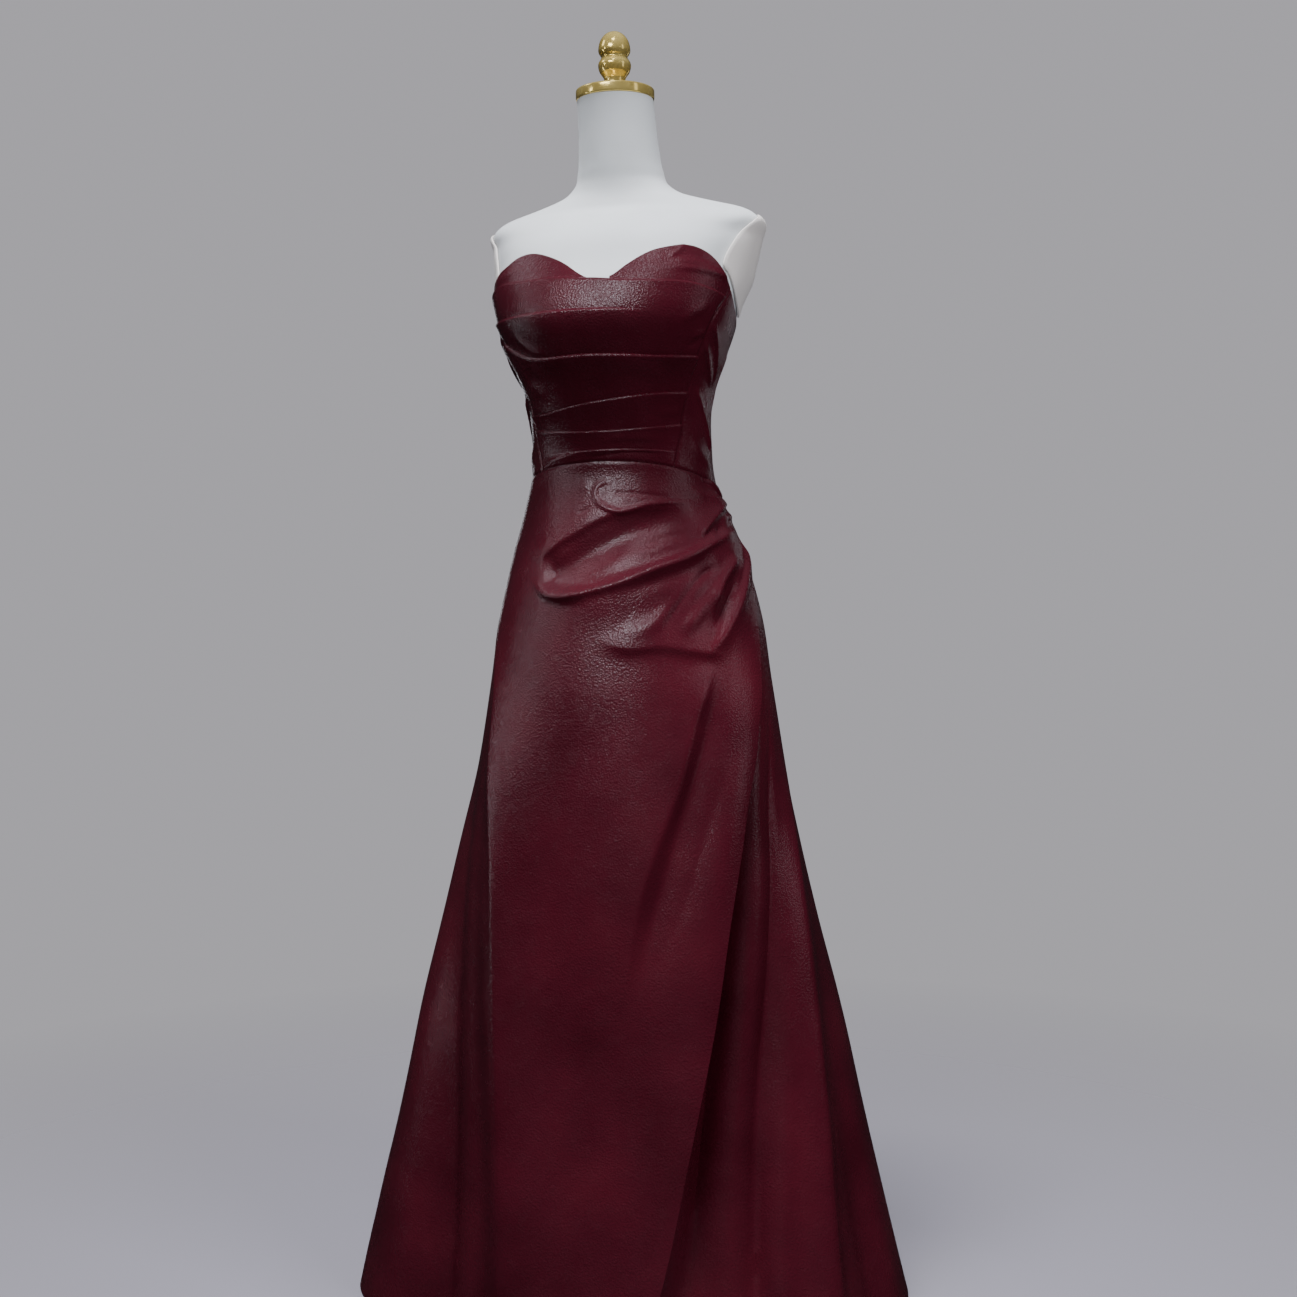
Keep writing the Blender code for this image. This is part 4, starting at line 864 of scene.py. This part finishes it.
def seam_angle(height):
    """Half of the seam gap, as an angle."""
    return 0.5 * SEAM_GAP / arc_per_degree(height)


def constant(angle):
    return lambda height: angle + 0.0 * height


def seam_edge(line, side, way):
    """Edge of a bodice piece: a line on one side of the body, moved half of the seam gap back or forward."""
    return lambda height: side * (line(height) + way * seam_angle(height))


def lapped_edge(height):
    return overlay_edge(height) - OVERLAY_LAP_ANGLE


def above_waist(angle):
    return waist_seam(angle_between(angle)) + 0.5 * (SEAM_GAP + WAIST_FLARE)


def skirt_levels():
    """Fractions of the skirt's height for its rows of points, closer together over the hips."""
    low = spread(0.0, SKIRT_ROW_BREAK, SKIRT_ROWS_LOW)[:-1]
    return np.concatenate([low, spread(SKIRT_ROW_BREAK, 1.0, SKIRT_ROWS_HIP + 1)])


def skirt_grid(left_edge, right_edge, columns, rise):
    """Points of a skirt piece between two edges, from hem to waist seam."""
    levels = skirt_levels()[:, None]
    nominal = HEM_HEIGHT + levels * (waist_seam(0.0) - HEM_HEIGHT)
    start = left_edge(nominal) + seam_angle(nominal)
    finish = right_edge(nominal) - seam_angle(nominal)
    angle = start + (finish - start) * spread_to_edges(columns)[None, :]
    top = waist_seam(angle_between(angle)) - 0.5 * (SEAM_GAP + WAIST_FLARE)
    height = HEM_HEIGHT + levels * (top - HEM_HEIGHT)
    return gown_point(angle, height, rise(angle, height))


def build_skirt(leather):
    """The overlay and the gores, each with its two edges, its columns, its folds and its sewn edges."""
    left = constant(SIDE_BACK_SEAM)
    right = constant(-SIDE_BACK_SEAM)
    pieces = []
    for name, start, finish, columns, rise, sewn in (
        ("front_drape", ridge_seam, overlay_edge, OVERLAY_COLUMNS, overlay_rise, ("top",)),
        ("gore_left_front", lapped_edge, left, GORE_COLUMNS, under_gore_rise, ("high", "top")),
        ("gore_left_back", left, constant(180), BACK_GORE_COLUMNS, gore_rise, ("low", "high", "top")),
        ("gore_right_side", right, ridge_seam, GORE_COLUMNS, gore_rise, ("low", "top")),
        ("gore_right_back", constant(-180), right, BACK_GORE_COLUMNS, gore_rise, ("low", "high", "top")),
    ):
        pieces.append(add_cloth("skirt_" + name, skirt_grid(start, finish, columns, rise), leather, sewn))
    return pieces


def tuck_line(index, angle):
    """Height of a tuck's upturned edge; index 0 is the waist seam and the last the top tuck."""
    if index == 0:
        return above_waist(angle)
    if index > len(TUCKS):
        return top_tuck_edge(angle)
    heights = TUCKS[index - 1][0]
    return line_through(list(zip(TUCK_PLACES, heights)))(angle)


def tuck_rise(index, angle):
    """Height of a tuck's edge above the layer behind it."""
    if index > len(TUCKS):
        return TOP_TUCK_RISE + 0.0 * angle
    _, rise, first, last = TUCKS[index - 1]
    enter = smooth_step((angle - first) / TUCK_FADE_ANGLE)
    leave = smooth_step((last - angle) / TUCK_FADE_ANGLE)
    return rise * enter * leave


def tuck_lean(part):
    """Share of its rise that a layer has reached: it leans out, then rolls over at its edge."""
    if part < TUCK_ROLL_START:
        return (part / TUCK_ROLL_START) ** TUCK_LEAN_POWER
    return math.sqrt(1.0 - ((part - TUCK_ROLL_START) / (1.0 - TUCK_ROLL_START)) ** 2)


def bodice_front_grid():
    """Points of the tucked panel: each layer leans out to its own edge and drops behind the next."""
    across = 2.0 * spread_to_edges(FRONT_COLUMNS) - 1.0
    rows = []
    for layer in range(len(TUCKS) + 1):
        for part in TUCK_ROWS:
            angle = across * princess_seam(FIRST_GUESS_HEIGHT)
            for _ in range(SETTLING_PASSES):
                low = tuck_line(layer, angle)
                height = low + (tuck_line(layer + 1, angle) - low) * part
                angle = across * (princess_seam(height) - seam_angle(height))
            creases = crease_rise(angle, height, BODICE_CREASES)
            rows.append(gown_point(angle, height, tuck_lean(part) * tuck_rise(layer + 1, angle) + creases))
    return np.stack(rows)


def bodice_panel(low_edge, start, finish, counts, folds=(), side=1):
    """Points of a plain bodice piece between two seams, from a lower edge to the neckline."""
    levels = spread_to_edges(counts[0])[:, None]
    across = spread_to_edges(counts[1])[None, :]
    height = FIRST_GUESS_HEIGHT + 0.0 * (levels + across)
    for _ in range(SETTLING_PASSES):
        first = start(height)
        angle = first + (finish(height) - first) * across
        low = low_edge(angle)
        height = low + (neckline(angle) - low) * levels
    return gown_point(angle, height, crease_rise(side * angle, height, folds))


def cup_base(angle):
    return top_tuck_edge(angle) - TUCK_LAP


def build_bodice(leather):
    """The tucked front, and on each side a cup, a side panel and a back panel."""
    sewn = ("low", "high", "bottom")
    side_back = constant(SIDE_BACK_SEAM)
    pieces = [add_cloth("bodice_front", bodice_front_grid(), leather, sewn)]
    for name, side in SIDES:
        inner = constant(side * CUP_INNER_ANGLES[name])
        cup_end, side_start = [seam_edge(princess_seam, side, way) for way in (-1, 1)]
        side_end, back_start = [seam_edge(side_back, side, way) for way in (-1, 1)]
        middle = seam_edge(constant(180.0), side, -1)
        for piece, edges, grid in (
            ("cup_", (), bodice_panel(cup_base, inner, cup_end, CUP_GRID, CUP_CREASES)),
            ("side_", sewn, bodice_panel(above_waist, side_start, side_end, SIDE_GRID, SIDE_CREASES, side)),
            ("back_", sewn, bodice_panel(above_waist, back_start, middle, BACK_GRID)),
        ):
            pieces.append(add_cloth("bodice_" + piece + name, grid[:, ::side], leather, edges))
    return pieces


def upright_tape_grid(seam, low_margin):
    """Points of a tape that runs up a seam of the bodice, from a margin beside the waist seam."""
    levels = spread(0.0, 1.0, TAPE_STEPS)[:, None]
    across = spread(-0.5, 0.5, TAPE_COLUMNS)[None, :] * TAPE_WIDTH
    height = FIRST_GUESS_HEIGHT + 0.0 * levels
    for _ in range(SETTLING_PASSES):
        angle = seam(height)
        low = waist_seam(angle) + low_margin
        high = np.minimum(neckline(angle), top_tuck_edge(angle) + TAPE_TUCK_REACH) - TAPE_MARGIN
        height = low + (high - low) * levels
    angle = angle + across / arc_per_degree(height)
    return gown_point(angle, height + 0.0 * angle, 0.0 * angle - TAPE_DEPTH)


def waist_tape_grid():
    angle = spread(-180.0, 180.0, WAIST_TAPE_STEPS)[None, :]
    height = waist_seam(angle) + spread(-0.5, 0.5, TAPE_COLUMNS)[:, None] * TAPE_WIDTH
    return gown_point(angle + 0.0 * height, height, 0.0 * height - TAPE_DEPTH)


def build_tapes(leather):
    """Narrow strips inside the seams, which close the fine gaps as turned-in cloth does."""
    grids = {}
    for name, side in SIDES:
        for seam_name, line in (("princess_", princess_seam), ("side_back_", constant(SIDE_BACK_SEAM))):
            grids["seam_tape_" + seam_name + name] = upright_tape_grid(seam_edge(line, side, 0), TAPE_MARGIN)
    grids["zip_tape_back"] = upright_tape_grid(constant(180.0), -TAPE_MARGIN)
    grids["seam_tape_waist"] = waist_tape_grid()
    tapes = [add_shell(name, points, TAPE_THICKNESS, leather) for name, points in grids.items()]
    for tape in tapes:
        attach(tape, "root")
    return tapes


# Dress form

def tilted(points):
    """Leans the top of the neck forward, so that its cap faces the front a little."""
    lean = smooth_step((points[..., 2] - NECK_TILT_START) / (NECK_TOP - NECK_TILT_START))
    leaned = points.copy()
    leaned[..., 2] += (points[..., 1] - FORM["centre"](points[..., 2])) * math.tan(NECK_TILT) * lean
    return leaned


def torso_heights():
    """Heights of the torso's rings, close together at its lower rim and over the shoulders and neck."""
    rim = spread(FORM_BOTTOM, FORM_BOTTOM + FORM_RIM, FORM_RIM_ROWS)
    middle = np.arange(FORM_BOTTOM + FORM_RIM + FORM_RIM_STEP, SHOULDER_START, TORSO_ROW_PITCH)
    high = np.arange(SHOULDER_START, NECK_TOP, SHOULDER_ROW_PITCH)
    return np.concatenate([rim, middle, high, [NECK_TOP]])


def build_torso(jersey):
    angles = spread(0.0, 360.0, TORSO_COLUMNS + 1)[:-1]
    rings = []
    for height in torso_heights():
        ring = form_point(angles, np.full(angles.shape, height))
        rounding = 1.0 - min(1.0, (height - FORM_BOTTOM) / FORM_RIM)
        centre = ring.mean(axis=0)
        ring = centre + (ring - centre) * (1.0 - FORM_RIM_INSET * rounding**2)
        rings.append(tilted(ring))
    torso = add_loft("form_torso", np.array(rings), jersey)
    stand_for_node(torso, "form_torso", FORM_SHARP_ANGLE)


def build_arm_plate(name, side, jersey):
    """Oval cover of an armhole, laid on the torso's own surface, with a rounded rim."""
    places = spread(0.0, len(PLATE_EDGE), PLATE_SIDES + 1)[:-1]
    edge = [line_through(list(enumerate(values)))(places) for values in zip(*PLATE_EDGE, PLATE_EDGE[0])]
    rings = []
    for ring in range(PLATE_RINGS + 1):
        reach = 1.0 - max(0, ring - 1) / PLATE_RINGS
        angle = side * (PLATE_CENTRE[0] + reach * (edge[0] - PLATE_CENTRE[0]))
        height = PLATE_CENTRE[1] + reach * (edge[1] - PLATE_CENTRE[1])
        lift = 0.0 if ring == 0 else PLATE_THICKNESS - (PLATE_RIM if ring == 1 else 0.0)
        rings.append(form_point(angle, height) + outward(FORM, angle, height) * (PLATE_GAP + lift))
    plate = add_loft(name, np.array(rings)[:, ::side], jersey)
    stand_for_node(plate, name, FORM_SHARP_ANGLE)


def finial_profile():
    """The finial's outline, smooth through its points but for the flat foot."""
    outline = [smooth_curve(list(enumerate(values)))[1] for values in zip(*FINIAL_PROFILE[:-1])]
    outline = np.clip(np.stack(outline, axis=-1), 0.0, None)
    return np.concatenate([outline[::FINIAL_THINNING], [outline[-1], FINIAL_PROFILE[-1]]])


def build_cap_and_finial(gold):
    centre = float(FORM["centre"](NECK_TOP))
    lift = CONTACT_GAP / math.cos(NECK_TILT)
    cap = cylinder_profile(CAP_RADIUS, 0.0, CAP_THICKNESS, CAP_ROUNDING)
    add_turned("form_neck_cap", cap, gold, (0.0, centre, NECK_TOP + lift), NECK_TILT)
    top = CAP_THICKNESS + CONTACT_GAP
    foot = (0.0, centre - top * math.sin(NECK_TILT), NECK_TOP + lift + top * math.cos(NECK_TILT))
    add_turned("form_finial", finial_profile(), gold, foot, NECK_TILT)


def build_stand(steel):
    """Base plate, hub, pole and collar, a contact gap apart."""
    hub_foot = BASE_THICKNESS + CONTACT_GAP
    hub_top = hub_foot + HUB_HEIGHT
    collar_top = FORM_BOTTOM - CONTACT_GAP
    collar_foot = collar_top - COLLAR_HEIGHT
    neck_radius = POLE_RADIUS + STAND_NECK
    hub = [(0.0, hub_top), (neck_radius, hub_top), (HUB_RADIUS, hub_foot + HUB_RIM), (HUB_RADIUS, hub_foot),
           (0.0, hub_foot)]
    collar = [(0.0, collar_top), (COLLAR_RADIUS, collar_top), (COLLAR_RADIUS, collar_top - COLLAR_RIM),
              (neck_radius, collar_foot), (0.0, collar_foot)]
    for name, profile in (
        ("form_base", cylinder_profile(BASE_RADIUS, 0.0, BASE_THICKNESS, BASE_ROUNDING)),
        ("form_hub", rounded_profile(hub, HUB_ROUNDING)),
        ("form_pole", cylinder_profile(POLE_RADIUS, hub_top + CONTACT_GAP, collar_foot - CONTACT_GAP,
                                       POLE_ROUNDING)),
        ("form_collar", rounded_profile(collar, COLLAR_ROUNDING)),
    ):
        add_turned(name, profile, steel)


# Stage

def backdrop_material():
    material, tree, _, _ = new_material("backdrop")
    glow = add_node(tree, "Emission", {"Color": BACKDROP_COLOUR, "Strength": 1.0}, {})
    tree.links.new(glow.outputs["Emission"], tree.nodes["Material Output"].inputs["Surface"])
    return material


def floor_material():
    """Pale floor that fades away round the gown, so that it meets the backdrop without a line."""
    material, tree, shader, place = new_material("floor")
    shader.inputs["Base Color"].default_value = FLOOR_COLOUR
    shader.inputs["Roughness"].default_value = 0.55
    shader.inputs["Specular IOR Level"].default_value = 0.15
    distance = tree.nodes.new("ShaderNodeVectorMath")
    distance.operation = "LENGTH"
    tree.links.new(place, distance.inputs[0])
    clear = tree.nodes.new("ShaderNodeBsdfTransparent")
    mix = tree.nodes.new("ShaderNodeMixShader")
    fade = add_range(tree, distance.outputs["Value"], FLOOR_FULL, FLOOR_END, 0.0, 1.0)
    for source, socket in zip((fade, shader.outputs["BSDF"], clear.outputs["BSDF"]), mix.inputs):
        tree.links.new(source, socket)
    tree.links.new(mix.outputs["Shader"], tree.nodes["Material Output"].inputs["Surface"])
    return material


def build_floor():
    turn = round_turn(ROUND_SIDES)
    rim = np.stack([FLOOR_END * np.cos(turn), FLOOR_END * np.sin(turn), 0.0 * turn + FLOOR_LEVEL], axis=-1)
    floor = add_mesh("floor", rim, [list(range(ROUND_SIDES))], floor_material(), False)
    floor.visible_glossy = False


def build_backdrop():
    """A large ball round everything, which only the camera sees."""
    bpy.ops.mesh.primitive_uv_sphere_add(segments=48, ring_count=24, radius=BACKDROP_RADIUS)
    backdrop = bpy.context.active_object
    backdrop.name = "backdrop"
    backdrop.data.materials.append(backdrop_material())
    for rays in ("diffuse", "glossy", "transmission", "shadow"):
        setattr(backdrop, "visible_" + rays, False)


def build_world():
    """Dim surroundings that brighten upwards."""
    world = bpy.data.worlds.new("studio")
    bpy.context.scene.world = world
    world.use_nodes = True
    tree = world.node_tree
    direction = tree.nodes.new("ShaderNodeTexCoord").outputs["Generated"]
    parts = add_node(tree, "SeparateXYZ", {}, {"Vector": direction})
    sky = add_ramp(tree, add_range(tree, parts.outputs["Z"], -1.0, 1.0, 0.0, 1.0), WORLD_STOPS)
    tree.links.new(sky, tree.nodes["Background"].inputs["Color"])


def add_by_axes(name, data, place, side, up, forward):
    """A camera or a lamp at a place, looking forward."""
    thing = bpy.data.objects.new(name, data)
    bpy.context.scene.collection.objects.link(thing)
    axes = np.stack([side, up, -forward], axis=1)
    thing.matrix_world = Matrix.Translation(place) @ Matrix(axes.tolist()).to_4x4()
    return thing


def build_lights():
    """Soft rectangular lamps that the camera doesn't see."""
    for name, place, target, size, power, shows_in in LIGHTS:
        data = bpy.data.lights.new(name, "AREA")
        data.shape = "RECTANGLE"
        data.size, data.size_y = size
        data.energy = power
        data.color = LIGHT_COLOUR
        forward = np.array(target, float) - np.array(place, float)
        forward /= np.linalg.norm(forward)
        side = np.cross(forward, UP)
        side /= np.linalg.norm(side)
        light = add_by_axes(name, data, place, side, np.cross(side, forward), forward)
        light.visible_camera = False
        light.visible_diffuse = shows_in != "gloss"
        light.visible_glossy = shows_in != "matt"


def turned_pair(first, second, angle):
    """Two unit vectors at right angles, both turned by an angle from the first towards the second."""
    cosine = math.cos(angle)
    sine = math.sin(angle)
    return first * cosine + second * sine, second * cosine - first * sine


def build_camera():
    side, forward = turned_pair(np.array([1.0, 0.0, 0.0]), np.array([0.0, 1.0, 0.0]), CAMERA_AZIMUTH)
    place = CAMERA_HEIGHT * UP - CAMERA_DISTANCE * forward
    forward, side = turned_pair(forward, side, math.atan((0.5 * IMAGE_WIDTH - AXIS_PIXEL) / FOCAL_PIXELS))
    forward, up = turned_pair(forward, UP, CAMERA_PITCH)
    up, side = turned_pair(up, side, CAMERA_ROLL)
    data = bpy.data.cameras.new("camera")
    data.sensor_width = SENSOR_WIDTH
    data.lens = FOCAL_PIXELS * SENSOR_WIDTH / IMAGE_WIDTH
    bpy.context.scene.camera = add_by_axes("camera", data, place, side, up, forward)


def main():
    build_camera()
    leather = leather_material()
    jersey = jersey_material("form_jersey_fine", JERSEY_COLOUR, JERSEY_SHADE)
    plate_jersey = jersey_material("form_plate_jersey", PLATE_COLOUR, PLATE_SHADE)
    gold = metal_material("polished_gold_fine", GOLD_COLOUR, GOLD_SHADE, *GOLD_GLOSS)
    steel = metal_material("satin_steel_fine", STEEL_COLOUR, STEEL_SHADE, *STEEL_GLOSS)
    pieces = build_skirt(leather) + build_bodice(leather)
    build_tapes(leather)
    build_torso(jersey)
    for name, side in SIDES:
        build_arm_plate("form_arm_plate_" + name, side, plate_jersey)
    build_cap_and_finial(gold)
    build_stand(steel)
    build_floor()
    build_backdrop()
    build_world()
    build_lights()


main()
